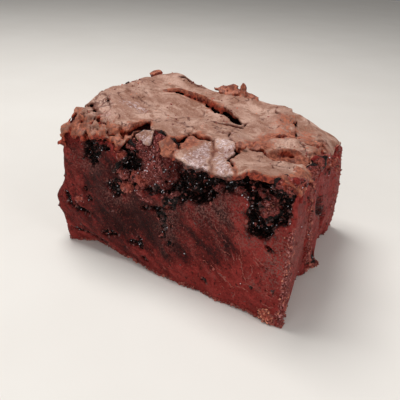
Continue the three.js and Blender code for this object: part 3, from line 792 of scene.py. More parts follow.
# The knife also drew fine pale scratches, most of them low on the right.
scratched = ramp(from_front(front_streaks, crumb_at), 0.9, 1.7)
dusty = np.maximum(dusty, in_front * scratched * (0.2 + 0.5 * hill(a, c, (20, 10), (12, 8))))
paint(crumb_piece, "dusty", dusty)

# How red the smeared face is: dark and cool in the middle of the long cut, redder round it.
red_places = [  # middle, half size, turn, how much redder
    ((24, 7), (12, 9), 0, 0.34),
    ((20, 25), (4, 4), 0, -0.3),
    ((-29, 9), (5, 9), 0, 0.3),
    ((2, 4.6), (14, 1.6), -4, 0.3),
    ((-10, 14.2), (13, 6.4), 14, -0.95),
    ((-22, 23), (8, 5), 0, -0.2),
    ((20.5, 15.5), (4, 4), 0, -0.6),
    ((7.5, 14), (8, 5), 0, -0.3),
    ((-19, 17.5), (6, 4), 0, -0.35),
]
redness = 0.5 + 0.14 * from_front(ripples((xs, zs), 4, 65), crumb_at)
redness += 0.2 * from_front(front_streaks, crumb_at) * in_front
redness += 0.1 * from_right(right_streaks, crumb_at) * in_right
redness += in_front * (hills(a, c, red_places) + 0.35 * ramp(c, 6, 1.5))
redness += in_right * (0.75 + 0.3 * ramp(b, -3, 6)) - 0.3 * in_right * hill(b, c, (-17, 8), (6, 9))
redness -= 0.14 * (1 - np.maximum(in_front, in_right))
paint(crumb_piece, "redness", redness)


class Finish:
    """A node material under construction: short calls that add and link one node each."""

    def __init__(self, name):
        self.material = bpy.data.materials.new(name)
        self.material.use_nodes = True
        self.nodes = self.material.node_tree.nodes
        self.shader = self.nodes["Principled BSDF"]
        place = self.nodes.new("ShaderNodeTexCoord")
        scale = self.nodes.new("ShaderNodeVectorMath")
        scale.operation = "SCALE"
        scale.inputs["Scale"].default_value = 1000
        self.link(place.outputs["Object"], scale.inputs[0])
        self.millimetres = scale.outputs[0]

    def link(self, output, socket):
        self.material.node_tree.links.new(output, socket)

    def feed(self, socket, value):
        if hasattr(value, "is_linked"):
            self.link(value, socket)
        elif isinstance(value, tuple):
            socket.default_value = (*value, 1)
        else:
            socket.default_value = value

    def painted(self, name):
        """The number that paint stored at each vertex."""
        node = self.nodes.new("ShaderNodeAttribute")
        node.attribute_name = name
        return node.outputs["Fac"]

    def mottle(self, size, detail=3, distortion=0.0, roughness=0.55):
        """Cloudy noise from 0 to 1, with patches about size mm across."""
        noise = self.nodes.new("ShaderNodeTexNoise")
        self.link(self.millimetres, noise.inputs["Vector"])
        noise.inputs["Scale"].default_value = 1 / size
        noise.inputs["Detail"].default_value = detail
        noise.inputs["Distortion"].default_value = distortion
        noise.inputs["Roughness"].default_value = roughness
        return noise.outputs["Fac"]

    def cracks(self, size, outer, inner):
        """Wandering lines round cells size mm across: 0 from outer on and 1 up to inner, in cells."""
        wander = self.nodes.new("ShaderNodeTexNoise")
        self.link(self.millimetres, wander.inputs["Vector"])
        wander.inputs["Scale"].default_value = 0.8
        shifted = self.nodes.new("ShaderNodeVectorMath")
        shifted.operation = "MULTIPLY_ADD"
        self.link(wander.outputs["Color"], shifted.inputs[0])
        shifted.inputs[1].default_value = (2.4, 2.4, 2.4)
        self.link(self.millimetres, shifted.inputs[2])
        cells = self.nodes.new("ShaderNodeTexVoronoi")
        cells.feature = "DISTANCE_TO_EDGE"
        self.link(shifted.outputs[0], cells.inputs["Vector"])
        cells.inputs["Scale"].default_value = 1 / size
        return self.spread(cells.outputs["Distance"], outer, inner)

    def math(self, operation, a, b=0.0):
        node = self.nodes.new("ShaderNodeMath")
        node.operation = operation
        self.feed(node.inputs[0], a)
        self.feed(node.inputs[1], b)
        return node.outputs[0]

    def spread(self, value, low, high, to_low=0.0, to_high=1.0):
        """Stretches the part of a value from low to high over a new range."""
        node = self.nodes.new("ShaderNodeMapRange")
        node.interpolation_type = "SMOOTHSTEP"
        ends = {"From Min": low, "From Max": high, "To Min": to_low, "To Max": to_high}
        for name, number in ends.items():
            self.feed(node.inputs[name], number)
        self.feed(node.inputs["Value"], value)
        return node.outputs["Result"]

    def mix(self, share, a, b):
        node = self.nodes.new("ShaderNodeMix")
        node.data_type = "RGBA"
        self.feed(node.inputs["Factor"], share)
        self.feed(node.inputs[6], a)
        self.feed(node.inputs[7], b)
        return node.outputs[2]

    def bump(self, height, millimetres, after=None):
        """Fine relief so many millimetres high, laid over any relief that comes before it."""
        node = self.nodes.new("ShaderNodeBump")
        node.inputs["Distance"].default_value = millimetres / 1000
        self.feed(node.inputs["Height"], height)
        if after:
            self.link(after, node.inputs["Normal"])
        return node.outputs["Normal"]


def colour_of(red, green, blue):
    """A colour as it looks on a screen, 0 to 255, as the numbers that a shader takes."""
    share = np.array((red, green, blue)) / 255
    linear = np.where(share <= 0.04045, share / 12.92, ((share + 0.055) / 1.055) ** 2.4)
    return tuple(float(v) for v in linear)


# Dense chocolate crumb: dull brown-red where the knife smeared it, near black and moist in the
# torn pockets, where the dark also stands for painted shade, with warm, drier crumbs standing proud.
crumb = Finish("chocolate crumb")
smear = crumb.mottle(3.0, detail=6, distortion=0.8)
fine = crumb.mottle(0.42, detail=3)
streaks = crumb.mottle(0.8, detail=5, distortion=1.2, roughness=0.7)
dark_smear = crumb.mix(crumb.spread(smear, 0.3, 0.7), colour_of(32, 11, 11), colour_of(62, 23, 23))
red_smear = crumb.mix(crumb.spread(smear, 0.3, 0.7), colour_of(117, 37, 34), colour_of(150, 54, 50))
red_share = crumb.math("ADD", crumb.painted("redness"), crumb.spread(streaks, 0.3, 0.7, -0.35, 0.3))
colour = crumb.mix(red_share, dark_smear, red_smear)
# Pale pink flecks over the crumb: painted sheen on its grain.
sheen_flecks = crumb.spread(fine, 0.58, 0.72, 0.0, 0.4)
colour = crumb.mix(sheen_flecks, colour, colour_of(168, 92, 76))
dark_flecks = crumb.spread(crumb.mottle(0.8, detail=5), 0.54, 0.68, 0.0, 0.75)
colour = crumb.mix(dark_flecks, colour, colour_of(36, 13, 12))
dust_share = crumb.math("MULTIPLY", crumb.painted("dusty"), crumb.spread(fine, 0.42, 0.62, 0.0, 0.9))
colour = crumb.mix(dust_share, colour, colour_of(126, 84, 78))
# Near black: moist crumb in the pockets, and painted shade there, in the crease and in the gaps.
wet_and_shade = crumb.mix(crumb.spread(fine, 0.52, 0.7), colour_of(8, 4, 3), colour_of(62, 32, 28))
pocket_and_shade_share = crumb.math("ADD", crumb.painted("pocket"), crumb.spread(fine, 0.3, 0.7, -0.2, 0.2))
pocket_and_shade_share = crumb.math("ADD", pocket_and_shade_share, crumb.spread(streaks, 0.3, 0.7, -0.2, 0.2))
colour = crumb.mix(crumb.spread(pocket_and_shade_share, 0.3, 0.7), colour, wet_and_shade)
plum = crumb.mix(crumb.spread(streaks, 0.38, 0.62), colour_of(50, 15, 15), colour_of(140, 70, 66))
plum = crumb.mix(crumb.spread(fine, 0.54, 0.66), plum, colour_of(190, 130, 126))
colour = crumb.mix(crumb.spread(crumb.painted("warm"), 0.1, 0.34), colour, plum)
toast = crumb.mix(crumb.spread(streaks, 0.35, 0.65), colour_of(92, 26, 20), colour_of(196, 104, 88))
colour = crumb.mix(crumb.spread(crumb.painted("warm"), 0.36, 0.95), colour, toast)
crumb.link(colour, crumb.shader.inputs["Base Color"])
gloss = crumb.spread(crumb.painted("pocket"), 0.2, 0.7, 0.46, 0.26)
gloss = crumb.math("ADD", gloss, crumb.spread(fine, 0.3, 0.7, -0.1, 0.14))
crumb.link(gloss, crumb.shader.inputs["Roughness"])
shine = crumb.spread(crumb.painted("pocket"), 0.2, 0.7, 0.04, 0.14)
shine = crumb.math("ADD", shine, crumb.spread(red_share, 0.4, 0.0, 0.0, 0.03))
crumb.link(shine, crumb.shader.inputs["Specular IOR Level"])
relief = crumb.bump(smear, 0.6)
relief = crumb.bump(streaks, 0.38, relief)
relief = crumb.bump(fine, 0.2, relief)
crumb.link(relief, crumb.shader.inputs["Normal"])
crumb_piece.data.materials.append(crumb.material)
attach(crumb_piece, "root")
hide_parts("brownie")

# ---------------------------------------------------------------- loose crumbs and threads
# Single crumbs, beads of moist crumb and near-white grains, painted as glints, that cling to the
# block, and the thin threads that the knife dragged out of it. All are stuck on by their own moisture.


def grains(name, places, radii, tones):
    """Many small uneven crumbs as one mesh: each is a skewed icosahedron with its own tone."""
    golden = (1 + 5**0.5) / 2
    ball = np.array([
        point for u in (-1, 1) for v in (-golden, golden) for point in ((0, u, v), (u, v, 0), (v, 0, u))
    ])
    sides = [
        t for t in combinations(range(len(ball)), 3)
        if all(np.linalg.norm(ball[i] - ball[j]) < 2.1 for i, j in combinations(t, 2))
    ]
    sides = np.array([t if np.linalg.det(ball[list(t)]) > 0 else t[::-1] for t in sides])
    ball = ball / np.hypot(1, golden)
    rng = np.random.default_rng(len(places))
    shapes = 0.85 * np.eye(3) + 0.3 * rng.standard_normal((len(places), 3, 3))
    points = ball @ shapes + 0.2 * rng.standard_normal((len(places), len(ball), 3))
    points = places[:, None, :] + radii[:, None, None] * points
    points[..., 2] = np.maximum(points[..., 2], 0.02)
    faces = sides[None] + len(ball) * np.arange(len(places))[:, None, None]
    mesh = bpy.data.meshes.new(name)
    mesh.from_pydata((points.reshape(-1, 3) / 1000).tolist(), [], faces.reshape(-1, 3).tolist())
    piece = bpy.data.objects.new(name, mesh)
    bpy.context.scene.collection.objects.link(piece)
    paint(piece, "tone", np.repeat(tones, len(ball)))
    return piece


def pick(count, weights, rng):
    """So many vertices drawn at random, the heavier ones more often."""
    return rng.choice(len(weights), count, p=weights / weights.sum())


rng = np.random.default_rng(81)
open_above = (ramp(present_here, 1.6, 0.2) + ramp(c, top_here - 1.6, top_here - 2.6)).clip(0, 1)
pocket_edge = np.exp(-(((pocket_and_shade - 0.35) / 0.22) ** 2)) * (1 - ramp(c, top_here - 3, top_here - 1))
corner_gaps = ramp(np.sin(1.9 * c) + np.sin(3.1 * c + 1), -0.6, 1.2)
ring_line = [(30.8, 0.4), (27.6, 1.0), (27.2, 2.6), (29.0, 3.9), (30.8, 2.5), (30.6, 0.6)]
ring_away, _, _ = from_line(a, c, ring_line)
glint_places = [((-5.6, 31.0), (2.0, 3.0), 0, 1.0), ((-1.5, 28.0), (4.0, 3.0), 0, 0.3)]

# Group by group: how many grains, where, how large, their tones (from 0, moist and dark, to 1,
# near white) and the share of them made small and near white as painted glints.
groups = [
    # Moist beads in the pockets, then ragged crumbs along the pockets' edges.
    (5200, pocket_and_shade * open_above * ramp(c, top_here - 0.4, top_here - 1.4), (0.12, 0.42), (0.0, 0.3), 0.1),
    (1500, pocket_edge, (0.12, 0.4), (0.15, 0.6), 0.03),
    # Dry ones along the base, up the near corner and down the ridge of the short cut.
    (1500, ramp(c, 1.5, 0.5) * (0.3 + in_front), (0.12, 0.42), (0.4, 0.7), 0),
    (170, near_edge * (1 - pocket_and_shade) * corner_gaps, (0.1, 0.32), (0.45, 0.8), 0),
    (420, ridge_here, (0.12, 0.36), (0.45, 0.75), 0),
    # Fine dust on the smear, and what sticks to the lumps.
    (1300, dusty * (1 - pocket_and_shade), (0.05, 0.15), (0.3, 0.7), 0),
    (900, ramp(warm_here, 0.2, 0.5), (0.1, 0.32), (0.3, 0.8), 0.06),
    # A ring of tan crumbs by the near corner, and near-white grains on the bare crumb as painted glints.
    (130, np.exp(-((ring_away / 0.45) ** 2)) * in_front, (0.12, 0.34), (0.75, 0.93), 0),
    (90, in_front * hills(a, c, glint_places), (0.1, 0.16), (1.0, 1.0), 0),
    # Crumbs down the far edge of the short cut.
    (260, ramp(a + 0.5 * b, 36, 38.5) * ramp(c, 3, 6) * ramp(c, 32, 28), (0.15, 0.5), (0.4, 0.75), 0),
]
chosen = np.concatenate([pick(count, weights, rng) for count, weights, _, _, _ in groups])
counts = [group[0] for group in groups]
size_range, tone_range, painted_glint_share = (
    np.repeat([group[column] for group in groups], counts, axis=0) for column in (2, 3, 4)
)
radii = size_range[:, 0] + (size_range[:, 1] - size_range[:, 0]) * rng.random(len(chosen)) ** 2
tones = tone_range[:, 0] + (tone_range[:, 1] - tone_range[:, 0]) * rng.random(len(chosen))
beads = counts[0]
tones[:beads][rng.random(beads) < 0.16] = 0.5
# The chosen few are made small and near white: painted glints.
painted_glint = rng.random(len(chosen)) < painted_glint_share
tones[painted_glint] = 1.0
radii[painted_glint] = 0.15
grain_piece = grains("loose_crumbs", crumb_at[chosen].astype(float), radii, tones)

# Threads of crumb that the knife left standing on the long cut: a line along X and up Z, and how
# thick each is.
threads = [
    ([(15.4, 8.6), (16.4, 8.0), (18.2, 6.9), (21.0, 5.6)], 0.26),
    ([(21.1, 5.2), (20.5, 2.4)], 0.14),
    ([(21.0, 6.5), (23.0, 7.0), (25.0, 6.6)], 0.14),
    ([(21.4, 14.6), (22.0, 13.5), (23.0, 11.3), (24.2, 8.9), (25.1, 8.6)], 0.2),
    ([(24.3, 13.7), (25.2, 12.6), (24.4, 10.1)], 0.14),
    ([(21.7, 7.6), (24.0, 8.6), (26.6, 8.9)], 0.12),
    ([(16.6, 20.8), (17.2, 20.2), (18.4, 19.2)], 0.14),
    ([(14.0, 20.1), (16.1, 18.2), (17.7, 16.7), (19.8, 15.3)], 0.1),
    ([(20.0, 19.6), (21.4, 17.6), (22.0, 15.4), (22.4, 13.0)], 0.12),
    ([(23.2, 18.8), (24.6, 16.8), (26.0, 15.2), (28.8, 13.8)], 0.12),
    ([(26.8, 18.0), (28.4, 16.8), (30.4, 15.6)], 0.22),
    ([(9.0, 8.8), (12.0, 9.4), (15.4, 8.4)], 0.1),
    ([(26.6, 13.2), (28.6, 11.0), (29.0, 8.4), (28.0, 6.0)], 0.1),
    ([(27.6, 5.2), (29.6, 4.4), (31.0, 5.4)], 0.14),
    ([(-30.0, 5.0), (-26.4, 4.8), (-22.0, 4.0), (-18.8, 3.6)], 0.12),
]
for start_x, start_z in rng.uniform((13, 4), (30, 19), (9, 2)):
    heading = np.radians(rng.uniform(-75, -15))
    bend, run = rng.uniform(-0.5, 0.5), rng.uniform(0.8, 1.8)
    line = [(start_x, start_z)]
    for turn in (heading, heading + bend):
        line.append((line[-1][0] + run * np.cos(turn), line[-1][1] + run * np.sin(turn)))
    if line[-1][0] < 32 and line[-1][1] > 0.8:
        threads.append((line, rng.uniform(0.1, 0.2)))
SIDES = 5  # of a thread's cross-section
rings, ring_faces, ring_tones = [], [], []
for line, thick in threads:
    line = np.array(line)
    lengths = np.concatenate([[0], np.cumsum(np.hypot(*np.diff(line, axis=0).T))])
    stops = np.arange(0, lengths[-1], 0.22)
    path = np.stack([np.interp(stops, lengths, line[:, i]) for i in (0, 1)], 1)
    path += 0.13 * rng.standard_normal(path.shape)
    surface = at_points(front_y, (xs, zs), path)
    taper = np.sin(np.pi * np.linspace(0.04, 0.96, len(path))) ** 0.4
    radius = 1.2 * thick * rng.uniform(0.15, 1.0, len(path)) * taper
    angles = np.arange(SIDES) * 2 * np.pi / SIDES
    middle = np.stack([path[:, 0], surface + 0.02, path[:, 1]], 1)
    first = sum(len(ring) for ring in rings)
    heading = np.gradient(path, axis=0)
    heading = heading / np.linalg.norm(heading, axis=1)[:, None]
    across = np.stack([-heading[:, 1], 0 * heading[:, 0], heading[:, 0]], 1)
    cos, sin = np.cos(angles)[None, :, None], np.sin(angles)[None, :, None]
    outwards = cos * across[:, None, :] + sin * np.array((0, 1, 0))
    ring = middle[:, None, :] + radius[:, None, None] * outwards
    rings.append(ring.reshape(-1, 3))
    for i in range(len(path) - 1):
        this, following = first + SIDES * i, first + SIDES * (i + 1)
        for j in range(SIDES):
            k = (j + 1) % SIDES
            ring_faces.append([this + j, this + k, following + k, following + j])
    ring_tones.append(rng.uniform(0.35, 0.75, SIDES * len(path)))
mesh = bpy.data.meshes.new("threads")
mesh.from_pydata((np.concatenate(rings) / 1000).tolist(), [], ring_faces)
thread_piece = bpy.data.objects.new("threads", mesh)
bpy.context.scene.collection.objects.link(thread_piece)
paint(thread_piece, "tone", np.concatenate(ring_tones))

# They run from near black and moist, through red-brown, to dry and tan; the last few are near white,
# painted glints.
loose = Finish("loose crumbs")
tone = loose.painted("tone")
colour = loose.mix(loose.spread(tone, 0.0, 0.35), colour_of(24, 13, 11), colour_of(92, 48, 44))
colour = loose.mix(loose.spread(tone, 0.3, 0.65), colour, colour_of(150, 72, 62))
colour = loose.mix(loose.spread(tone, 0.6, 0.9), colour, colour_of(214, 142, 112))
colour = loose.mix(loose.spread(tone, 0.95, 0.99), colour, colour_of(214, 214, 222))
loose.link(colour, loose.shader.inputs["Base Color"])
loose.link(loose.spread(tone, 0.0, 0.6, 0.28, 0.6), loose.shader.inputs["Roughness"])
loose.shader.inputs["Specular IOR Level"].default_value = 0.4
for piece in (grain_piece, thread_piece):
    piece.data.materials.append(loose.material)
    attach(piece, "root")
    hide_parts("brownie")

# ---------------------------------------------------------------- the crust
# The top skin of the bake, a papery sheet little more than a millimetre thick. It rose, lifted off
# the crumb and cracked, so its plates stand at different heights and show their toasted, broken
# edges. It droops over the long cut at the left.

CRUST_REACH = 8  # how far below the plateau the lowest of it hangs
upper = zs > HEIGHT - CRUST_REACH
crust_zs = zs[upper]
CZ = crust_zs[None, None, :]
grit = 0.09 * ripples((xs, ys, crust_zs), 0.7, 74) + 0.09 * ripples((xs, ys, crust_zs), 1.6, 75)
grit = grit * (1 + 2.6 * lobes + 3.0 * ragged_ridge.clip(0, 0.5))[:, :, None]
crust_top = crust_top - 0.45 * hairline
fall = [np.gradient(crust_top, STEP, axis=axis) ** 2 for axis in (0, 1)]
steep = np.sqrt(1 + fall[0] + fall[1])
steep = np.minimum(steep, 1.25)[:, :, None]
skin_depth = ((crust_top[:, :, None] - CZ) / steep).astype(np.float32)
under_side = (crust_thick + 0.12 * ripples((xs, ys), 1.1, 76))[:, :, None]
sheet = both(-skin_depth + (lobes[:, :, None] * grit), skin_depth - under_side + grit, 0.15)
sheet = both(sheet, -present[:, :, None] + grit, 0.1)

# The knife cut the sheet flush with the other three walls; only over the long cut does it hang out.
other_walls = both(
    Y - (back_y + back_sunk)[:, None, :],
    both((left_x - left_sunk)[None, :, :] - X, X - (right_x + right_sunk)[None, :, :], 0.8),
    0.8,
)[:, :, upper]
sheet = both(sheet, other_walls - 0.3 + 1.4 * grit, 0.1)

# Loose flakes: middle, half sizes in plan, thickness, lean about X, Y and Z in degrees, how far the
# flake curls, how toasted it is, and how glossy it is with painted sheen. They lie on the plates,
# hang over the long cut and stand up at the back.
flakes = [
    ((-7.2, 22.6, 36.6), (4.2, 2.2), 1.0, (26, 0, 4), 0.06, 0.8, 0.0),
    ((-5.8, 22.8, 37.6), (2.4, 1.5), 0.8, (58, 10, 16), 0.1, 0.7, 0.0),
    ((-2.0, 22.6, 37.4), (1.5, 2.5), 0.8, (78, -10, -28), 0.1, 0.5, 0.3),
    ((-0.2, 22.6, 35.8), (3.2, 2.0), 0.9, (20, 6, -10), 0.1, 0.7, 0.2),
    ((-31.6, 22.0, 36.6), (2.4, 2.2), 1.8, (16, 12, 0), -0.1, 0.7, 0.0),
    ((-32.8, 22.2, 37.9), (2.2, 1.8), 1.2, (14, -16, 0), -0.1, 0.6, 0.0),
    ((0.2, -21.2, 34.0), (3.0, 2.5), 0.8, (58, 6, -14), 0.05, 0.55, 0.3),
    ((-7.2, -20.0, 34.3), (2.5, 1.9), 0.7, (60, -8, 6), 0.04, 0.2, 0.7),
    ((14.2, -12.4, 35.0), (1.9, 1.1), 0.8, (38, 0, -24), 0.12, 0.8, 0.0),
    ((29.6, -17.0, 34.3), (1.4, 1.2), 0.7, (16, 24, 10), 0.1, 0.6, 0.0),
]
flake_rng = np.random.default_rng(7)
flake_toast = np.zeros(sheet.shape, np.float32)
flake_gloss_and_painted_sheen = np.zeros(sheet.shape, np.float32)
for middle, (wide, deep), thick, lean, curl, toast_of, gloss_and_painted_sheen_of in flakes:
    about_x, about_y, about_z = (
        Matrix.Rotation(np.radians(angle), 3, axis) for angle, axis in zip(lean, "XYZ")
    )
    turn = np.array(about_z @ about_y @ about_x)
    far = max(wide, deep) + thick + 0.8
    box = tuple(
        slice(*np.searchsorted(axis, (m - far, m + far))) for axis, m in zip((xs, ys, crust_zs), middle)
    )
    local = [
        sum(turn[row][column] * axis_offset for row, axis_offset in enumerate((
            xs[box[0]][:, None, None] - middle[0],
            ys[box[1]][None, :, None] - middle[1],
            crust_zs[box[2]][None, None, :] - middle[2],
        )))
        for column in range(3)
    ]
    count = int(flake_rng.integers(5, 8))
    headings = (np.arange(count) + flake_rng.uniform(-0.3, 0.3, count)) * 2 * np.pi / count
    reaches = flake_rng.uniform(0.72, 1.0, count)
    outline = min(wide, deep) * np.max([
        local[0] / wide * np.cos(heading) + local[1] / deep * np.sin(heading) - reach
        for heading, reach in zip(headings, reaches)
    ], axis=0)
    lift = local[2] - curl * (local[0] ** 2 + local[1] ** 2) / wide
    flake = both(np.abs(lift) - thick / 2, outline + grit[box], 0.15)
    nearer = flake < sheet[box]
    skin_depth[box] = np.where(nearer, thick / 2 - lift, skin_depth[box])
    flake_toast[box] = np.where(nearer, toast_of, flake_toast[box])
    flake_gloss_and_painted_sheen[box] = np.where(nearer, gloss_and_painted_sheen_of, flake_gloss_and_painted_sheen[box])
    sheet[box] = either(sheet[box], flake, 0.25)

crust_piece = piece_of("crust", sheet, (xs, ys, crust_zs))
where = points_of(crust_piece)
skin = ramp(at_points(skin_depth, (xs, ys, crust_zs), where), 0.5, 0.25)
paint(crust_piece, "skin", skin)
paint(crust_piece, "crack", from_above(np.maximum(hairline, 0.8 * tears_hair), where))

# Where it is toasted: at the hem and the lips of the tears, in the hollow, and on some plates.
a, b, c = where.T
toast_places = [  # middle, half size, turn, share
    ((-28, -23), (5, 5), 0, 1.0),
    ((-17, -23.4), (7, 3.4), 0, 0.8),
    ((-24, -16), (4, 4), 0, 0.3),
    ((-13, -16), (3, 4), 0, 0.3),
    ((-11.6, -17), (3, 6), 0, 0.5),
    ((1.8, -17), (3.2, 6.5), 0, 0.9),
    ((2.2, -18), (2.2, 7), 0, 0.4),
    ((14.2, -13.4), (1.6, 1.4), 0, 0.5),
    ((16.8, -8.8), (3, 2.2), -16, 1.4),
    ((17.4, -5.4), (3.4, 2), -16, 0.8),
    ((16, -2.4), (3, 1.6), 0, 0.5),
    ((19.5, -0.4), (3.2, 1), 8, 0.8),
    ((15.6, 1.2), (4.2, 4), 0, 0.85),
    ((20.5, 5), (5, 4.5), 0, 0.75),
    ((24, 10), (4.5, 6.5), 0, 0.6),
    ((15.6, 11.6), (3.6, 3.4), 0, 0.55),
    ((31, -23), (3.2, 3.6), 0, 1.1),
    ((24, -25.8), (4.5, 1.4), 0, 0.9),
    ((-4, 23.2), (7, 1.8), 0, 0.8),
    ((-31, 21.5), (2.5, 2.5), 0, 0.6),
]
on_left_plate, on_right_plate = (from_above(inside, where) for inside in inside_plates)
plate_rim = np.minimum(np.abs(on_left_plate), np.abs(on_right_plate))
long_tear = tears[0][0]
away, _, along = from_line(a, b, long_tear)
toasted = (
    hills(a, b, toast_places) + 0.6 * from_above(lip, where) + 0.6 * from_above(right_rim, where)
    + 1.2 * ramp(from_above(inside_hollow, where), -0.2, 0.6)
    + 0.3 * ramp(from_above(reach_out, where), 1.4, 0.2) * ramp(a, 27, 30)
    + at_points(flake_toast, (xs, ys, crust_zs), where)
    + 0.9 * np.exp(-((away / 0.9) ** 2)) * ramp(along, 0.7, 0.5)
    + 0.12 * from_above(ripples((xs, ys), 1.8, 77), where)
    + 0.5 * np.exp(-((plate_rim / 0.6) ** 2)) * ramp(a, -1, 1)
)
paint(crust_piece, "toasted", toasted)

# Where it is papery and glossy, with its sheen and highlights painted in pale colour: on the two proud
# plates, on some flakes and in a few places more.
gloss_and_painted_sheen_places = [  # middle, half size, turn, share
    ((-19.8, -6.6), (4.6, 2.2), 10, 0.8),
    ((-22.0, -16.5), (2.0, 2.6), 0, 0.7),
    ((10.5, -7), (4, 3), 0, 0.35),
]
gloss_and_painted_sheen = (
    ramp(on_left_plate, 0.1, 1.2) * ramp(a, 4.0, 6.8) + 0.8 * ramp(on_right_plate, 0.1, 1.2)
    + hills(a, b, gloss_and_painted_sheen_places) + at_points(flake_gloss_and_painted_sheen, (xs, ys, crust_zs), where)
)
paint(crust_piece, "gloss_and_painted_sheen", gloss_and_painted_sheen)

# Crumbs of torn crust lie about on it, most of them beside the tears and at the left.
LITTER = 420
littered = skin * ramp(from_above(fall[0] + fall[1], where), 1.5, 0.4)
littered *= 0.12 + from_above(brittle, where) + from_above(lip, where)
litter = pick(LITTER, littered, rng)
litter_size = 0.08 + 0.26 * rng.random(LITTER) ** 2
litter_tone = rng.uniform(0.35, 0.85, LITTER)
litter_piece = grains("crust_crumbs", where[litter].astype(float), litter_size, litter_tone)

baked = Finish("baked crust")
cloud = baked.mottle(3.2, detail=5, distortion=0.6)
grain = baked.mottle(0.4, detail=4)
blotch = baked.mottle(1.0, detail=5, distortion=0.8)
broad = baked.mottle(9.0, detail=3)
pale = baked.mix(baked.spread(broad, 0.36, 0.64), colour_of(158, 118, 102), colour_of(190, 154, 138))
colour = baked.mix(baked.spread(cloud, 0.36, 0.56), colour_of(140, 98, 80), pale)
colour = baked.mix(baked.spread(blotch, 0.56, 0.7, 0.0, 0.4), colour, colour_of(140, 88, 68))
colour = baked.mix(baked.spread(grain, 0.56, 0.66, 0.0, 0.55), colour, colour_of(116, 70, 54))
colour = baked.mix(baked.spread(grain, 0.45, 0.34, 0.0, 0.3), colour, colour_of(210, 178, 162))
# Painted sheen: pale lilac and near-white highlights on the glossy places, laid on as colour.
painted_sheen = baked.mix(baked.spread(blotch, 0.38, 0.6), colour_of(132, 96, 88), colour_of(196, 168, 166))
gloss_and_painted_sheen_share = baked.math("ADD", baked.painted("gloss_and_painted_sheen"), baked.spread(blotch, 0.34, 0.66, -0.5, 0.2))
gloss_and_painted_sheen_share = baked.spread(gloss_and_painted_sheen_share, 0.2, 0.9)
painted_sheen = baked.mix(baked.spread(grain, 0.5, 0.36, 0.0, 0.6), painted_sheen, colour_of(236, 222, 226))
painted_sheen = baked.mix(baked.spread(grain, 0.56, 0.66, 0.0, 0.6), painted_sheen, colour_of(122, 70, 62))
colour = baked.mix(baked.math("MULTIPLY", gloss_and_painted_sheen_share, 0.85), colour, painted_sheen)
amber = baked.mix(baked.spread(blotch, 0.35, 0.65), colour_of(98, 38, 24), colour_of(176, 104, 78))
toast_share = baked.math("ADD", baked.painted("toasted"), baked.spread(blotch, 0.3, 0.7, -0.25, 0.25))
toast_share = baked.spread(toast_share, 0.25, 0.9, 0.0, 0.92)
colour = baked.mix(toast_share, colour, amber)
crack_line = baked.cracks(4.2, 0.045, 0.012)
crack_share = baked.math("MULTIPLY", crack_line, baked.spread(baked.mottle(6.0, detail=2), 0.54, 0.66))
colour = baked.mix(baked.math("MULTIPLY", crack_share, 0.8), colour, colour_of(92, 44, 34))
craze_share = baked.math("MULTIPLY", baked.cracks(1.5, 0.1, 0.03), gloss_and_painted_sheen_share)
colour = baked.mix(baked.math("MULTIPLY", craze_share, 0.6), colour, colour_of(112, 66, 54))
torn_edge = baked.mix(baked.spread(blotch, 0.4, 0.62), colour_of(86, 22, 13), colour_of(160, 66, 44))
dark_edge = baked.mix(baked.spread(blotch, 0.4, 0.62), colour_of(52, 20, 14), colour_of(116, 52, 36))
colour = baked.mix(baked.math("MULTIPLY", baked.painted("crack"), 0.85), colour, colour_of(84, 36, 26))
broken = baked.mix(baked.spread(baked.painted("toasted"), 0.2, 0.6), dark_edge, torn_edge)
colour = baked.mix(baked.painted("skin"), broken, colour)
baked.link(colour, baked.shader.inputs["Base Color"])
baked.link(baked.spread(gloss_and_painted_sheen_share, 0.0, 1.0, 0.5, 0.3), baked.shader.inputs["Roughness"])
baked.link(baked.spread(gloss_and_painted_sheen_share, 0.0, 1.0, 0.22, 0.5), baked.shader.inputs["Specular IOR Level"])
relief = baked.bump(cloud, 0.26)
relief = baked.bump(blotch, 0.2, relief)
relief = baked.bump(grain, 0.1, relief)
relief = baked.bump(baked.math("MULTIPLY", crack_share, -1.0), 0.25, relief)
baked.link(relief, baked.shader.inputs["Normal"])
for piece, finish in ((crust_piece, baked), (litter_piece, loose)):
    piece.data.materials.append(finish.material)
    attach(piece, "root")
    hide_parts("brownie")

# ---------------------------------------------------------------- the table, the light and the camera
# A pale, matt table top under one large soft light from above and behind, with a weak fill from
# the right.

TABLE = 1.6  # metres
bpy.ops.mesh.primitive_plane_add(size=TABLE, location=(0, 0, 0))
table = bpy.context.active_object
table.name = "table"
table_finish = Finish("pale table")
tint = table_finish.mix(table_finish.mottle(40.0), colour_of(222, 218, 212), colour_of(230, 227, 222))
table_finish.link(tint, table_finish.shader.inputs["Base Color"])
table_finish.shader.inputs["Roughness"].default_value = 0.7
table.data.materials.append(table_finish.material)


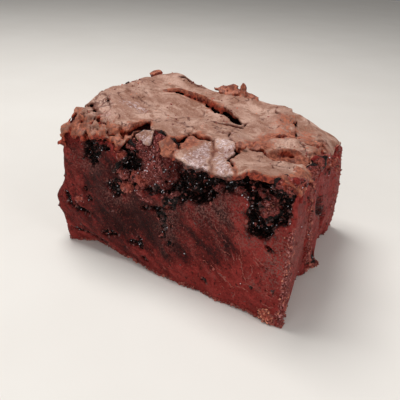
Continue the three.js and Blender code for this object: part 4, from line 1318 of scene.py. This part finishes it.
def softbox(name, place, size, watts, colour=(1, 1, 1)):
    """A square soft light, in metres, that faces the brownie."""
    lamp = bpy.data.lights.new(name, "AREA")
    lamp.size = size
    lamp.energy = watts
    lamp.color = colour
    holder = bpy.data.objects.new(name, lamp)
    holder.location = place
    middle = Vector((0, 0, HEIGHT / 2000))
    holder.rotation_euler = (middle - Vector(place)).to_track_quat("-Z", "Y").to_euler()
    bpy.context.scene.collection.objects.link(holder)


softbox("window", (-0.15, 0.02, 0.43), 0.24, 1.75, (1.0, 0.985, 0.97))
softbox("right fill", (0.44, -0.06, 0.18), 0.30, 0.8)
softbox("front fill", (0.02, -0.52, 0.22), 0.40, 1.0)
world = bpy.data.worlds.new("room")
world.use_nodes = True
world.node_tree.nodes["Background"].inputs["Color"].default_value = (1, 0.98, 0.96, 1)
world.node_tree.nodes["Background"].inputs["Strength"].default_value = 0.22
bpy.context.scene.world = world
bpy.context.scene.view_settings.view_transform = "Standard"

AZIMUTH, ELEVATION, ROLL = np.radians((27.3, 24.7, 3.1))
DISTANCE = 0.146  # from the brownie's middle to the lens
AIM = Vector((0, 0, 0.017))
IMAGE = 400  # pixels across
FOCAL = 537  # pixels
SENSOR = 36.0
OPTICAL_AXIS = (209, 183)  # where it meets the image, in pixels
flat = np.cos(ELEVATION)
towards = Vector((np.sin(AZIMUTH) * flat, -np.cos(AZIMUTH) * flat, np.sin(ELEVATION)))
level = towards.cross(Vector((0, 0, -1))).normalized()
upright = towards.cross(level)
right_hand = np.cos(ROLL) * level + np.sin(ROLL) * upright
overhead = -np.sin(ROLL) * level + np.cos(ROLL) * upright
lens = bpy.data.cameras.new("camera")
lens.sensor_width = SENSOR
lens.lens = FOCAL * SENSOR / IMAGE
lens.shift_x = (IMAGE / 2 - OPTICAL_AXIS[0]) / IMAGE
lens.shift_y = (OPTICAL_AXIS[1] - IMAGE / 2) / IMAGE
lens.clip_start = 0.01
camera = bpy.data.objects.new("camera", lens)
camera.matrix_world = Matrix.Translation(AIM + DISTANCE * towards) @ Matrix(
    (right_hand, overhead, towards)
).transposed().to_4x4()
bpy.context.scene.collection.objects.link(camera)
bpy.context.scene.camera = camera
